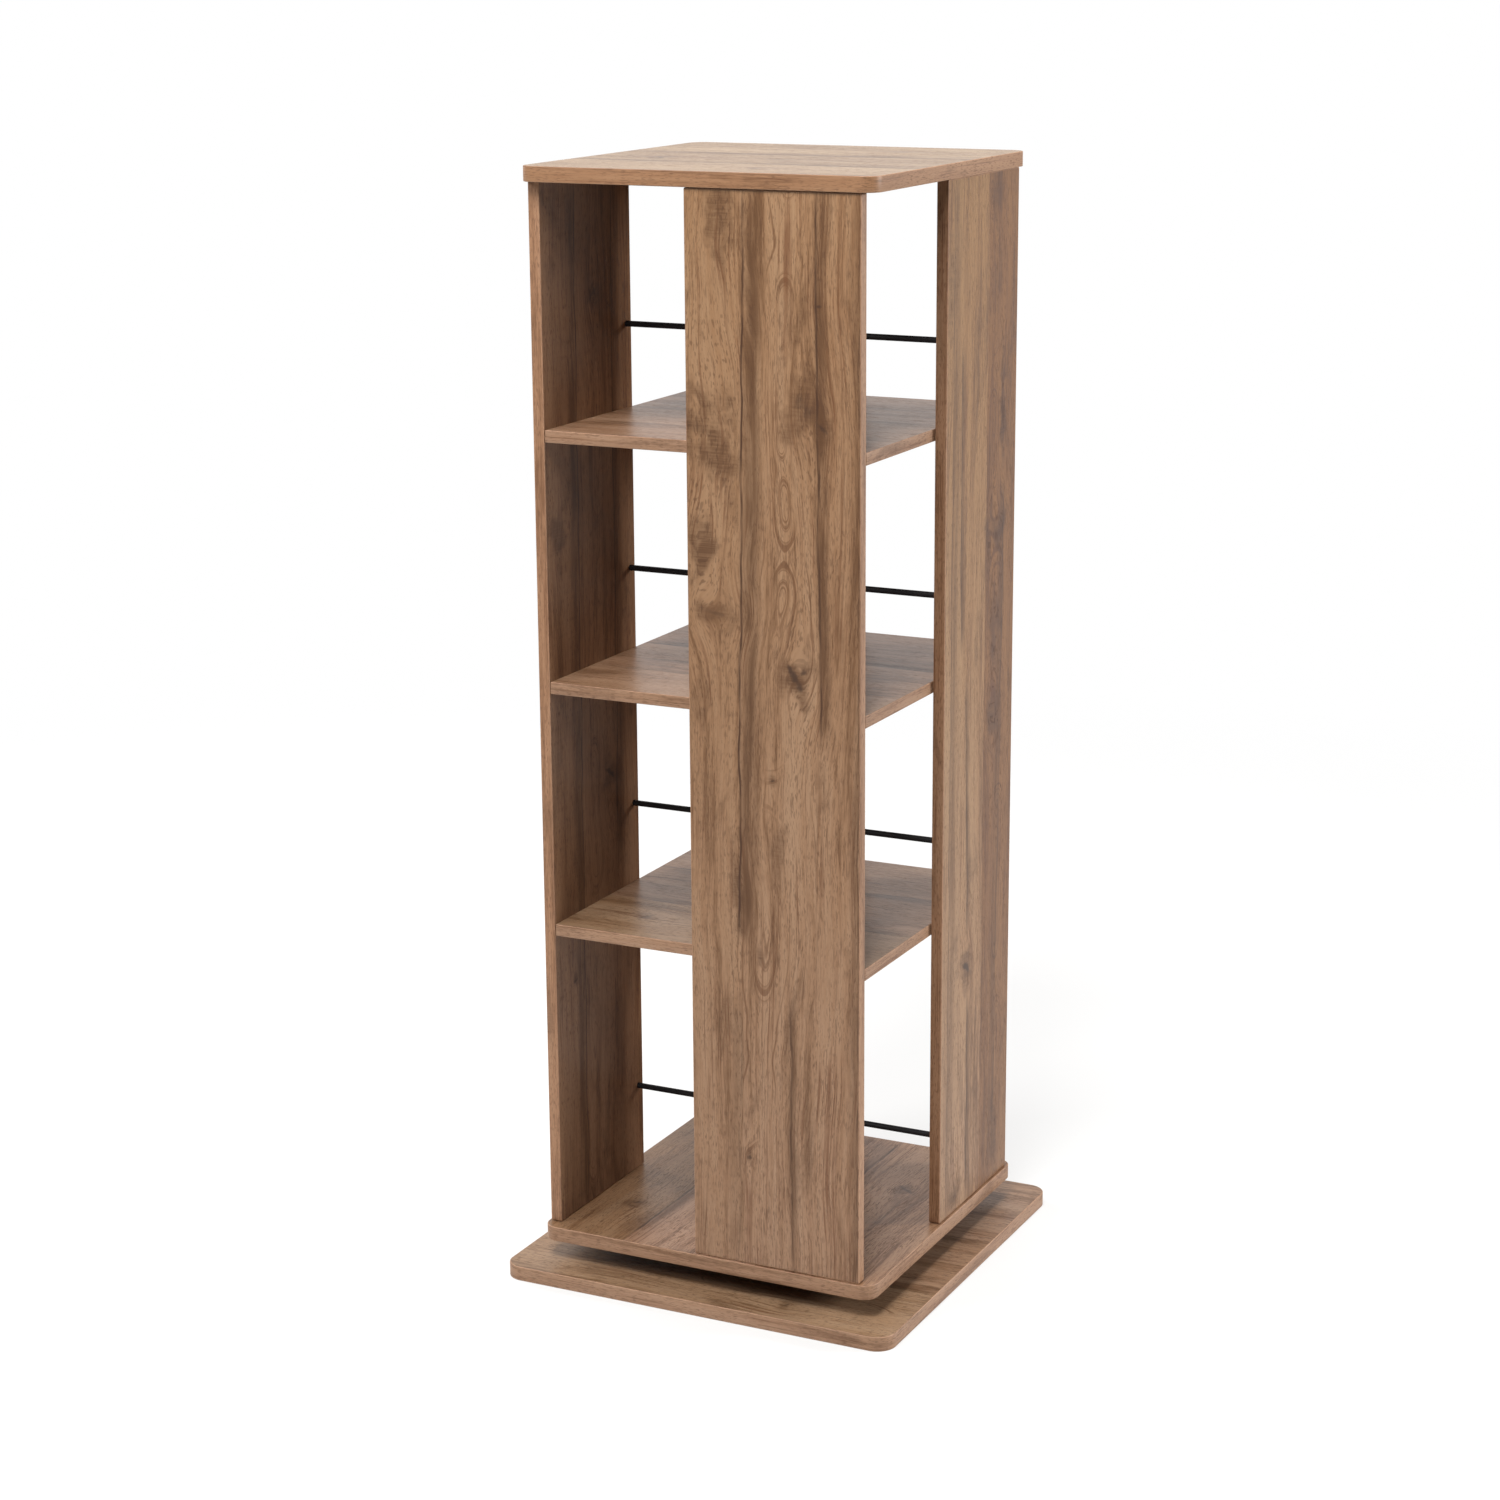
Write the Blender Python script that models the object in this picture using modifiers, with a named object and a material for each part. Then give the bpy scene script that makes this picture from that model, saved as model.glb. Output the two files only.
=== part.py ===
"""Revolving bookcase: a pinwheel carcass of four panels and three shelves on a ball bearing base.

Units are metres, +Z is up, and the origin is the centre of the base plate's underside.
Each side of the carcass is modelled as the front one, which faces -Y, and turned about +Z.
"""

import math

import bmesh
import bpy
from mathutils import Matrix, Vector

# Gap kept between two pieces that touch, seat or are screwed together
FIT = 0.0003

# Rounding of every board's long edges
EDGE_ROUND = 0.0005
EDGE_STEPS = 1
CORNER_STEPS = 7

# Shelves, square, one above each tier but the highest
SHELF_SIDE = 0.340
SHELF_THICKNESS = 0.012

# Tiers: the clear height of the lowest one and of those above it
LOWEST_TIER_HEIGHT = 0.308
TIER_HEIGHT = 0.237
TIER_COUNT = 4

# Upright panels, one on each side, flush with one corner of the shelves
PANEL_WIDTH = 0.180
PANEL_THICKNESS = 0.012

# Top board
TOP_OVERHANG = 0.0027
TOP_THICKNESS = 0.015
TOP_CORNER_RADIUS = 0.016

# Bottom board, which turns with the carcass
BOTTOM_OVERHANG = 0.0027
BOTTOM_THICKNESS = 0.015
BOTTOM_CORNER_RADIUS = 0.016

# Base plate, which stands still on the floor
BASE_SIDE = 0.430
BASE_THICKNESS = 0.015
BASE_CORNER_RADIUS = 0.020

# Book rods, one in each tier, from the left panel to the right one
ROD_DIAMETER = 0.006
ROD_SEAT_DEPTH = 0.008
ROD_EDGE_INSET = 0.010
LOWEST_ROD_HEIGHT = 0.092
ROD_HEIGHT = 0.084
ROD_STEPS = 12

# Turntable bearing: two pressed steel plates with a ring of balls between them
BEARING_HEIGHT = 0.021
BEARING_SIDE = 0.150
BEARING_CORNER_RADIUS = 0.012
BEARING_SHEET = 0.002
BEARING_STEPS = 32
DISH_RADIUS = 0.060
DISH_SHOULDER_RADIUS = 0.052
DISH_LAP = 0.003
RACE_RADIUS = 0.040
GROOVE_HALF_WIDTH = 0.004
GROOVE_DEPTH = 0.001
GROOVE_STEPS = 2

# Balls and the cage that spaces them
BALL_DIAMETER = 0.0095
BALL_COUNT = 12
BALL_SEGMENTS = 8
BALL_RINGS = 6
CAGE_WIDTH = 0.014
CAGE_THICKNESS = 0.0015
CAGE_STEPS = 24

# Rivet at the centre, which holds the two bearing plates together
RIVET_SHANK_RADIUS = 0.006
RIVET_HEAD_RADIUS = 0.010
RIVET_HEAD_THICKNESS = 0.002
RIVET_STEPS = 16

# Bearing screws, four in each plate
BEARING_SCREW_INSET = 0.015
BEARING_SCREW_LENGTH = 0.014
BEARING_SCREW_SHANK_RADIUS = 0.002
BEARING_SCREW_HEAD_RADIUS = 0.004
BEARING_SCREW_HEAD_HEIGHT = 0.0025
BEARING_SCREW_TIP = 0.003
BEARING_SCREW_CROWN_RADIUS = 0.0028
BEARING_SCREW_CROWN_HEIGHT = 0.0015
SCREW_STEPS = 12

# Countersunk screws, up through the bottom board into the ends of the panels
PANEL_SCREW_LENGTH = 0.050
PANEL_SCREW_SHANK_RADIUS = 0.0025
PANEL_SCREW_HEAD_RADIUS = 0.0048
PANEL_SCREW_HEAD_HEIGHT = 0.003
PANEL_SCREW_TIP = 0.004

# Cross recess in the head of every screw
RECESS_WIDTH = 0.0010
RECESS_DEPTH = 0.0014
RECESS_SHARE_OF_HEAD = 0.55

# Dowels between the panels' upper ends and the top board
DOWEL_RADIUS = 0.003
DOWEL_LENGTH_IN_TOP = 0.009
DOWEL_LENGTH_IN_PANEL = 0.019
DOWEL_EDGE_CUT = 0.0008
DOWEL_STEPS = 12

# Cam nuts, let into the undersides of the shelves
CAM_RADIUS = 0.006
CAM_DEPTH = 0.0095
CAM_INSET = 0.024
CAM_STEPS = 16
CAM_SLOT_WIDTH = 0.0014
CAM_SLOT_DEPTH = 0.0018
CAM_SLOT_LENGTH = 0.0085
CAM_BORE_PAST_CENTRE = 0.0038

# Cam bolts, screwed into the panels' inner faces and held by the cam nuts
BOLT_THREAD_RADIUS = 0.0025
BOLT_THREAD_LENGTH = 0.009
BOLT_COLLAR_RADIUS = 0.0032
BOLT_COLLAR_LENGTH = 0.002
BOLT_SHANK_RADIUS = 0.0018
BOLT_HEAD_RADIUS = 0.003
BOLT_HEAD_LENGTH = 0.003
BOLT_HEAD_END_RADIUS = 0.002
BOLT_STEPS = 10

# Cutters of holes start this far outside the face that they cut
HOLE_LEAD = 0.001
HOLE_STEPS = 12
MERGE_DISTANCE = 0.00001

# Angle of each side of the carcass about +Z, counted from the front
SIDES = {"front": 0.0, "right": 90.0, "back": 180.0, "left": 270.0}
ROD_SIDES = ("left", "right")

# Levels and places that follow from the sizes above
BEARING_LOW = BASE_THICKNESS + FIT
BEARING_HIGH = BEARING_LOW + BEARING_HEIGHT
BEARING_MIDDLE = (BEARING_LOW + BEARING_HIGH) / 2
BALL_ROOM = BALL_DIAMETER + 2 * FIT
LAND_HEIGHT = (BEARING_HEIGHT - BALL_ROOM) / 2 + GROOVE_DEPTH
BOTTOM_LOW = BEARING_HIGH + FIT
BOTTOM_HIGH = BOTTOM_LOW + BOTTOM_THICKNESS
SHELF_HALF = SHELF_SIDE / 2
PANEL_INNER = SHELF_HALF + FIT
PANEL_OUTER = PANEL_INNER + PANEL_THICKNESS
TOP_SIDE = 2 * (PANEL_OUTER + TOP_OVERHANG)
BOTTOM_SIDE = 2 * (PANEL_OUTER + BOTTOM_OVERHANG)
PANEL_CENTRE_X = SHELF_HALF - PANEL_WIDTH / 2
PANEL_CENTRE_Y = -(PANEL_INNER + PANEL_THICKNESS / 2)
ROD_X_ON_PANEL = SHELF_HALF - PANEL_WIDTH + ROD_EDGE_INSET
CAM_CENTRE_Y = -(SHELF_HALF - CAM_INSET)
BEARING_SCREW_OFFSET = BEARING_SIDE / 2 - BEARING_SCREW_INSET


def stack_levels():
    """Returns the floor of each tier and the underside of the top board, from the bottom up."""
    floors = [BOTTOM_HIGH]
    ceiling = BOTTOM_HIGH + LOWEST_TIER_HEIGHT
    for _ in range(TIER_COUNT - 1):
        floors.append(ceiling + SHELF_THICKNESS)
        ceiling = floors[-1] + TIER_HEIGHT
    return floors, ceiling


TIER_FLOORS, TOP_LOW = stack_levels()
SHELF_TOPS = TIER_FLOORS[1:]
PANEL_LOW = BOTTOM_HIGH + FIT
PANEL_HIGH = TOP_LOW - FIT
BOLT_LEVELS = [shelf_top - SHELF_THICKNESS / 2 for shelf_top in SHELF_TOPS]
ROD_LEVELS = [TIER_FLOORS[0] + LOWEST_ROD_HEIGHT]
ROD_LEVELS += [floor + ROD_HEIGHT for floor in TIER_FLOORS[1:]]


def clear_scene():
    for old_object in list(bpy.data.objects):
        bpy.data.objects.remove(old_object, do_unlink=True)


def new_collection(name):
    collection = bpy.data.collections.new(name)
    bpy.context.scene.collection.children.link(collection)
    return collection


def new_material(name, colour, roughness, metallic):
    material = bpy.data.materials.new(name)
    material.use_nodes = True
    shader = material.node_tree.nodes["Principled BSDF"]
    shader.inputs["Base Color"].default_value = (*colour, 1.0)
    shader.inputs["Roughness"].default_value = roughness
    shader.inputs["Metallic"].default_value = metallic
    material.diffuse_color = (*colour, 1.0)
    return material


def turn_to_side(angle, point):
    """Takes a point of the front side to the same place on the side at this angle."""
    return Matrix.Rotation(math.radians(angle), 4, "Z") @ Vector(point)


def frame_along(point, direction):
    """A frame at the point whose local +Z runs along the direction."""
    turn = Vector(direction).to_track_quat("Z", "Y").to_matrix().to_4x4()
    return Matrix.Translation(Vector(point)) @ turn


def object_from_bmesh(name, solid, collection):
    mesh = bpy.data.meshes.new(name)
    solid.to_mesh(mesh)
    solid.free()
    new_object = bpy.data.objects.new(name, mesh)
    collection.objects.link(new_object)
    return new_object


def add_board(name, size, centre, material, corner_radius=0.0, angle=0.0, edge_round=EDGE_ROUND):
    """A flat board, which may have rounded upright corners and lightly rounded edges."""
    solid = bmesh.new()
    bmesh.ops.create_cube(solid, size=1.0)
    bmesh.ops.scale(solid, vec=Vector(size), verts=solid.verts)
    if corner_radius > 0.0:
        upright_edges = []
        for edge in solid.edges:
            run = edge.verts[0].co - edge.verts[1].co
            if abs(run.z) > size[2] / 2:
                upright_edges.append(edge)
        bmesh.ops.bevel(
            solid,
            geom=upright_edges,
            offset=corner_radius,
            offset_type="OFFSET",
            segments=CORNER_STEPS,
            profile=0.5,
            affect="EDGES",
        )
    board = object_from_bmesh(name, solid, PARTS)
    board.location = centre
    board.rotation_euler = (0.0, 0.0, math.radians(angle))
    board.data.materials.append(material)
    if edge_round > 0.0:
        rounding = board.modifiers.new("edge_rounding", "BEVEL")
        rounding.width = edge_round
        rounding.segments = EDGE_STEPS
        rounding.limit_method = "ANGLE"
        rounding.angle_limit = math.radians(30.0)
    return board


def add_turned(name, profile, steps, material, closed_ring=False, collection=None):
    """A shape turned about local +Z from (radius, height) points that run down its outer side."""
    solid = bmesh.new()
    points = [solid.verts.new((radius, 0.0, height)) for radius, height in profile]
    for upper, lower in zip(points, points[1:]):
        solid.edges.new((upper, lower))
    if closed_ring:
        solid.edges.new((points[-1], points[0]))
    turned = object_from_bmesh(name, solid, collection or PARTS)
    turned.data.materials.append(material)
    screw = turned.modifiers.new("turning", "SCREW")
    screw.axis = "Z"
    screw.angle = math.tau
    screw.steps = steps
    screw.render_steps = steps
    screw.use_merge_vertices = True
    screw.merge_threshold = MERGE_DISTANCE
    screw.use_smooth_shade = False
    return turned


def make_mesh(source):
    """Replaces an object's mesh by its evaluated one, in place, and drops its modifiers."""
    bpy.context.view_layer.update()
    evaluated = source.evaluated_get(bpy.context.evaluated_depsgraph_get())
    mesh = bpy.data.meshes.new_from_object(evaluated)
    mesh.name = source.name
    source.modifiers.clear()
    source.data = mesh


def add_boolean(target, tool, operation):
    boolean = target.modifiers.new(tool.name, "BOOLEAN")
    boolean.operation = operation
    boolean.solver = "EXACT"
    boolean.object = tool


def hide_cutter(cutter):
    cutter.hide_render = True
    cutter.display_type = "WIRE"


def drill(target, label, holes):
    """Cuts round holes. A hole is (point, direction, radius, far radius, depth), from its mouth."""
    solid = bmesh.new()
    for point, direction, radius, far_radius, depth in holes:
        inward = Vector(direction).normalized()
        start = Vector(point) - inward * HOLE_LEAD
        length = depth + HOLE_LEAD
        middle = start + inward * (length / 2)
        flare = (radius - far_radius) / depth
        bmesh.ops.create_cone(
            solid,
            cap_ends=True,
            segments=HOLE_STEPS,
            radius1=radius + flare * HOLE_LEAD,
            radius2=far_radius,
            depth=length,
            matrix=frame_along(middle, inward),
        )
    cutter = object_from_bmesh(f"cut_{target.name}_{label}", solid, CUTTERS)
    hide_cutter(cutter)
    add_boolean(target, cutter, "DIFFERENCE")


def straight_hole(point, direction, radius, depth):
    return point, direction, radius + FIT, radius + FIT, depth + FIT


def cut_cross_recess(screw, head_radius):
    """Cuts a cross recess into the top of a head that faces local +Z at height 0."""
    length = 2 * head_radius * RECESS_SHARE_OF_HEAD
    solid = bmesh.new()
    for size_x, size_y in ((length, RECESS_WIDTH), (RECESS_WIDTH, length)):
        bar = bmesh.ops.create_cube(solid, size=1.0)
        bmesh.ops.scale(solid, vec=(size_x, size_y, 2 * RECESS_DEPTH), verts=bar["verts"])
    cutter = object_from_bmesh(f"cut_{screw.name}_recess", solid, CUTTERS)
    hide_cutter(cutter)
    cutter.parent = screw
    add_boolean(screw, cutter, "DIFFERENCE")
    screw.modifiers[-1].use_self = True


def bearing_screw_points(level):
    points = []
    for angle in SIDES.values():
        points.append(turn_to_side(angle, (BEARING_SCREW_OFFSET, -BEARING_SCREW_OFFSET, level)))
    return points


def bearing_screw_grip():
    """Length of a bearing screw that is in the board, past the plate and the gap."""
    return BEARING_SCREW_LENGTH - BEARING_SHEET - 2 * FIT


def add_base_plate():
    base_plate = add_board(
        "base_plate",
        (BASE_SIDE, BASE_SIDE, BASE_THICKNESS),
        (0.0, 0.0, BASE_THICKNESS / 2),
        OAK_BOARD,
        corner_radius=BASE_CORNER_RADIUS,
    )
    pilots = []
    for point in bearing_screw_points(BASE_THICKNESS):
        pilots.append(
            straight_hole(point, (0, 0, -1), BEARING_SCREW_SHANK_RADIUS, bearing_screw_grip())
        )
    drill(base_plate, "bearing_pilots", pilots)


def dish_profile():
    """Section of a pressed plate's round dish: its upper face outwards, then its under face."""
    centre_hole = RIVET_SHANK_RADIUS + FIT
    groove = []
    for step in range(GROOVE_STEPS + 1):
        across = math.pi * (step / GROOVE_STEPS - 0.5)
        reach = GROOVE_HALF_WIDTH * math.sin(across)
        sink = GROOVE_DEPTH * math.cos(across)
        groove.append((RACE_RADIUS + reach, LAND_HEIGHT - sink))
    upper = [
        (centre_hole, LAND_HEIGHT),
        *groove,
        (DISH_SHOULDER_RADIUS, LAND_HEIGHT),
        (DISH_RADIUS - DISH_LAP, BEARING_SHEET),
        (DISH_RADIUS, BEARING_SHEET),
    ]
    under_groove = [(radius, height - BEARING_SHEET) for radius, height in reversed(groove)]
    under = [
        (DISH_RADIUS, 0.0),
        (DISH_RADIUS - DISH_LAP - BEARING_SHEET / 2, 0.0),
        (DISH_SHOULDER_RADIUS - BEARING_SHEET / 2, LAND_HEIGHT - BEARING_SHEET),
        *under_groove,
        (centre_hole, LAND_HEIGHT - BEARING_SHEET),
    ]
    return upper + under


def add_bearing_plate(name, location, upside_down):
    """A square sheet with a raised round dish, grooved for the balls and pierced for the rivet."""
    plate = add_board(
        name,
        (BEARING_SIDE, BEARING_SIDE, BEARING_SHEET),
        (0.0, 0.0, BEARING_SHEET / 2),
        ZINC_STEEL,
        corner_radius=BEARING_CORNER_RADIUS,
        edge_round=0.0,
    )
    opening = DISH_RADIUS - DISH_LAP / 2
    holes = [((0, 0, BEARING_SHEET), (0, 0, -1), opening, opening, BEARING_SHEET + FIT)]
    for point in bearing_screw_points(BEARING_SHEET):
        holes.append(
            straight_hole(point, (0, 0, -1), BEARING_SCREW_SHANK_RADIUS, BEARING_SHEET)
        )
    drill(plate, "holes", holes)
    dish = add_turned(
        f"{name}_dish", dish_profile(), BEARING_STEPS, ZINC_STEEL, True, CUTTERS
    )
    make_mesh(dish)
    hide_cutter(dish)
    add_boolean(plate, dish, "UNION")
    make_mesh(plate)
    bpy.data.objects.remove(dish, do_unlink=True)
    plate.data.transform(Matrix.Translation((0.0, 0.0, BEARING_SHEET / 2)))
    plate.location = location
    plate.rotation_euler = (math.pi if upside_down else 0.0, 0.0, 0.0)


def add_ball_cage():
    """A flat ring that spaces the balls, modelled with the balls that it holds."""
    half_width = CAGE_WIDTH / 2
    half_thickness = CAGE_THICKNESS / 2
    section = [
        (RACE_RADIUS - half_width, half_thickness),
        (RACE_RADIUS + half_width, half_thickness),
        (RACE_RADIUS + half_width, -half_thickness),
        (RACE_RADIUS - half_width, -half_thickness),
    ]
    cage = add_turned("ball_cage", section, CAGE_STEPS, BALL_STEEL, closed_ring=True)
    cage.location = (0.0, 0.0, BEARING_MIDDLE)
    solid = bmesh.new()
    for index in range(BALL_COUNT):
        turn = Matrix.Rotation(math.tau * index / BALL_COUNT, 4, "Z")
        bmesh.ops.create_uvsphere(
            solid,
            u_segments=BALL_SEGMENTS,
            v_segments=BALL_RINGS,
            radius=BALL_DIAMETER / 2,
            matrix=turn @ Matrix.Translation((RACE_RADIUS, 0.0, 0.0)),
        )
    balls = object_from_bmesh("join_balls", solid, CUTTERS)
    hide_cutter(balls)
    balls.location = cage.location
    add_boolean(cage, balls, "UNION")


def add_pivot_rivet():
    high = BEARING_HEIGHT - LAND_HEIGHT + BEARING_SHEET + FIT + RIVET_HEAD_THICKNESS
    low = LAND_HEIGHT - BEARING_SHEET - FIT - RIVET_HEAD_THICKNESS
    profile = [
        (0.0, high),
        (RIVET_HEAD_RADIUS, high),
        (RIVET_HEAD_RADIUS, high - RIVET_HEAD_THICKNESS),
        (RIVET_SHANK_RADIUS, high - RIVET_HEAD_THICKNESS),
        (RIVET_SHANK_RADIUS, low + RIVET_HEAD_THICKNESS),
        (RIVET_HEAD_RADIUS, low + RIVET_HEAD_THICKNESS),
        (RIVET_HEAD_RADIUS, low),
        (0.0, low),
    ]
    rivet = add_turned("pivot_rivet", profile, RIVET_STEPS, ZINC_STEEL)
    rivet.location = (0.0, 0.0, BEARING_LOW)


def add_bearing_screws(prefix, level, upside_down):
    """Pan head screws, turned with the head's top at height 0 and the tip downwards."""
    head = BEARING_SCREW_HEAD_RADIUS
    shank = BEARING_SCREW_SHANK_RADIUS
    under_head = -BEARING_SCREW_HEAD_HEIGHT
    tip = under_head - BEARING_SCREW_LENGTH
    profile = [
        (0.0, 0.0),
        (BEARING_SCREW_CROWN_RADIUS, 0.0),
        (head, -BEARING_SCREW_CROWN_HEIGHT),
        (head, under_head),
        (shank, under_head),
        (shank, tip + BEARING_SCREW_TIP),
        (0.0, tip),
    ]
    for index, point in enumerate(bearing_screw_points(level), start=1):
        screw = add_turned(f"{prefix}_{index}", profile, SCREW_STEPS, ZINC_STEEL)
        screw.location = point
        screw.rotation_euler = (math.pi if upside_down else 0.0, 0.0, 0.0)
        cut_cross_recess(screw, head)


def add_bottom_board():
    bottom_board = add_board(
        "bottom_board",
        (BOTTOM_SIDE, BOTTOM_SIDE, BOTTOM_THICKNESS),
        (0.0, 0.0, BOTTOM_LOW + BOTTOM_THICKNESS / 2),
        OAK_BOARD,
        corner_radius=BOTTOM_CORNER_RADIUS,
    )
    pilots = []
    for point in bearing_screw_points(BOTTOM_LOW):
        pilots.append(
            straight_hole(point, (0, 0, 1), BEARING_SCREW_SHANK_RADIUS, bearing_screw_grip())
        )
    drill(bottom_board, "bearing_pilots", pilots)
    passages = []
    countersinks = []
    for angle in SIDES.values():
        point = turn_to_side(angle, (PANEL_CENTRE_X, PANEL_CENTRE_Y, BOTTOM_LOW))
        passages.append(
            straight_hole(point, (0, 0, 1), PANEL_SCREW_SHANK_RADIUS, BOTTOM_THICKNESS)
        )
        countersinks.append(
            (
                point,
                (0, 0, 1),
                PANEL_SCREW_HEAD_RADIUS + 2 * FIT,
                PANEL_SCREW_SHANK_RADIUS + FIT,
                PANEL_SCREW_HEAD_HEIGHT + 2 * FIT,
            )
        )
    drill(bottom_board, "screw_passages", passages)
    drill(bottom_board, "countersinks", countersinks)


def add_panel_screws():
    """Countersunk screws, turned with the flat of the head at height 0 and the tip downwards."""
    shank = PANEL_SCREW_SHANK_RADIUS
    profile = [
        (0.0, 0.0),
        (PANEL_SCREW_HEAD_RADIUS, 0.0),
        (shank, -PANEL_SCREW_HEAD_HEIGHT),
        (shank, -PANEL_SCREW_LENGTH + PANEL_SCREW_TIP),
        (0.0, -PANEL_SCREW_LENGTH),
    ]
    for side, angle in SIDES.items():
        screw = add_turned(f"bottom_screw_{side}", profile, SCREW_STEPS, ZINC_STEEL)
        screw.location = turn_to_side(angle, (PANEL_CENTRE_X, PANEL_CENTRE_Y, BOTTOM_LOW + FIT))
        screw.rotation_euler = (math.pi, 0.0, 0.0)
        cut_cross_recess(screw, PANEL_SCREW_HEAD_RADIUS)


def rod_mouths(level):
    """The mouths of a rod's two seats, in the inner faces of the left and the right panel."""
    return [turn_to_side(SIDES[side], (ROD_X_ON_PANEL, -PANEL_INNER, level)) for side in ROD_SIDES]


def add_panel(side, angle):
    """An upright panel with the holes for its bolts, screw, dowel and rods."""
    centre = (PANEL_CENTRE_X, PANEL_CENTRE_Y, (PANEL_LOW + PANEL_HIGH) / 2)
    panel = add_board(
        f"{side}_panel",
        (PANEL_WIDTH, PANEL_THICKNESS, PANEL_HIGH - PANEL_LOW),
        turn_to_side(angle, centre),
        OAK_BOARD,
        angle=angle,
    )
    outward = turn_to_side(angle, (0.0, -1.0, 0.0))
    holes = []
    for level in BOLT_LEVELS:
        mouth = turn_to_side(angle, (PANEL_CENTRE_X, -PANEL_INNER, level))
        holes.append(straight_hole(mouth, outward, BOLT_THREAD_RADIUS, BOLT_THREAD_LENGTH))
    if side in ROD_SIDES:
        for level in ROD_LEVELS:
            mouths = rod_mouths(level)
            own_mouth = mouths[ROD_SIDES.index(side)]
            other_mouth = mouths[1 - ROD_SIDES.index(side)]
            along = own_mouth - other_mouth
            holes.append(straight_hole(own_mouth, along, ROD_DIAMETER / 2, ROD_SEAT_DEPTH))
    drill(panel, "face_holes", holes)
    screw_grip = PANEL_SCREW_LENGTH - BOTTOM_THICKNESS
    foot = turn_to_side(angle, (PANEL_CENTRE_X, PANEL_CENTRE_Y, PANEL_LOW))
    head = turn_to_side(angle, (PANEL_CENTRE_X, PANEL_CENTRE_Y, PANEL_HIGH))
    end_holes = [
        straight_hole(foot, (0, 0, 1), PANEL_SCREW_SHANK_RADIUS, screw_grip),
        straight_hole(head, (0, 0, -1), DOWEL_RADIUS, DOWEL_LENGTH_IN_PANEL),
    ]
    drill(panel, "end_holes", end_holes)


def add_shelf(number, shelf_top):
    """A square shelf with a cam pocket and a bolt bore for each of the four panels."""
    shelf = add_board(
        f"shelf_{number}",
        (SHELF_SIDE, SHELF_SIDE, SHELF_THICKNESS),
        (0.0, 0.0, shelf_top - SHELF_THICKNESS / 2),
        OAK_BOARD,
    )
    pockets = []
    bores = []
    for angle in SIDES.values():
        pocket = turn_to_side(
            angle, (PANEL_CENTRE_X, CAM_CENTRE_Y, shelf_top - SHELF_THICKNESS)
        )
        pockets.append(straight_hole(pocket, (0, 0, 1), CAM_RADIUS, CAM_DEPTH))
        bore = turn_to_side(
            angle, (PANEL_CENTRE_X, -SHELF_HALF, shelf_top - SHELF_THICKNESS / 2)
        )
        inward = turn_to_side(angle, (0.0, 1.0, 0.0))
        bores.append(straight_hole(bore, inward, BOLT_COLLAR_RADIUS, CAM_INSET))
    drill(shelf, "cam_pockets", pockets)
    drill(shelf, "bolt_bores", bores)


def add_cam_nuts(number, shelf_top):
    """Cam nuts with a bore that takes the bolt's head and a slot for the screwdriver."""
    profile = [
        (0.0, CAM_DEPTH),
        (CAM_RADIUS, CAM_DEPTH),
        (CAM_RADIUS, 0.0),
        (0.0, 0.0),
    ]
    bolt_height = SHELF_THICKNESS / 2
    for side, angle in SIDES.items():
        cam = add_turned(f"cam_nut_{side}_{number}", profile, CAM_STEPS, CAM_ZINC)
        underside = shelf_top - SHELF_THICKNESS
        cam.location = turn_to_side(angle, (PANEL_CENTRE_X, CAM_CENTRE_Y, underside))
        inward = turn_to_side(angle, (0.0, 1.0, 0.0))
        mouth = cam.location - inward * CAM_RADIUS + Vector((0.0, 0.0, bolt_height))
        bore = straight_hole(mouth, inward, BOLT_HEAD_RADIUS, CAM_RADIUS + CAM_BORE_PAST_CENTRE)
        drill(cam, "bore", [bore])
        slot = bmesh.new()
        bmesh.ops.create_cube(slot, size=1.0)
        bmesh.ops.scale(
            slot, vec=(CAM_SLOT_LENGTH, CAM_SLOT_WIDTH, 2 * CAM_SLOT_DEPTH), verts=slot.verts
        )
        cutter = object_from_bmesh(f"cut_{cam.name}_slot", slot, CUTTERS)
        cutter.location = cam.location
        cutter.rotation_euler = (0.0, 0.0, math.radians(angle))
        hide_cutter(cutter)
        add_boolean(cam, cutter, "DIFFERENCE")


def add_cam_bolts(number, level):
    """Bolts turned with the thread's end at height 0 and the head upwards."""
    collar_low = BOLT_THREAD_LENGTH
    collar_high = collar_low + FIT + BOLT_COLLAR_LENGTH
    head_middle = BOLT_THREAD_LENGTH + FIT + CAM_INSET
    head_high = head_middle + BOLT_HEAD_LENGTH / 2
    head_low = head_middle - BOLT_HEAD_LENGTH / 2
    profile = [
        (0.0, head_high),
        (BOLT_HEAD_END_RADIUS, head_high),
        (BOLT_HEAD_RADIUS - FIT, head_middle),
        (BOLT_SHANK_RADIUS, head_low),
        (BOLT_SHANK_RADIUS, collar_high),
        (BOLT_COLLAR_RADIUS - FIT, collar_high),
        (BOLT_COLLAR_RADIUS - FIT, collar_low + FIT),
        (BOLT_THREAD_RADIUS, collar_low + FIT),
        (BOLT_THREAD_RADIUS, 0.0),
        (0.0, 0.0),
    ]
    for side, angle in SIDES.items():
        bolt = add_turned(f"cam_bolt_{side}_{number}", profile, BOLT_STEPS, CAM_ZINC)
        thread_end = (PANEL_CENTRE_X, -(PANEL_INNER + BOLT_THREAD_LENGTH), level)
        start = turn_to_side(angle, thread_end)
        bolt.matrix_world = frame_along(start, turn_to_side(angle, (0.0, 1.0, 0.0)))


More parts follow.
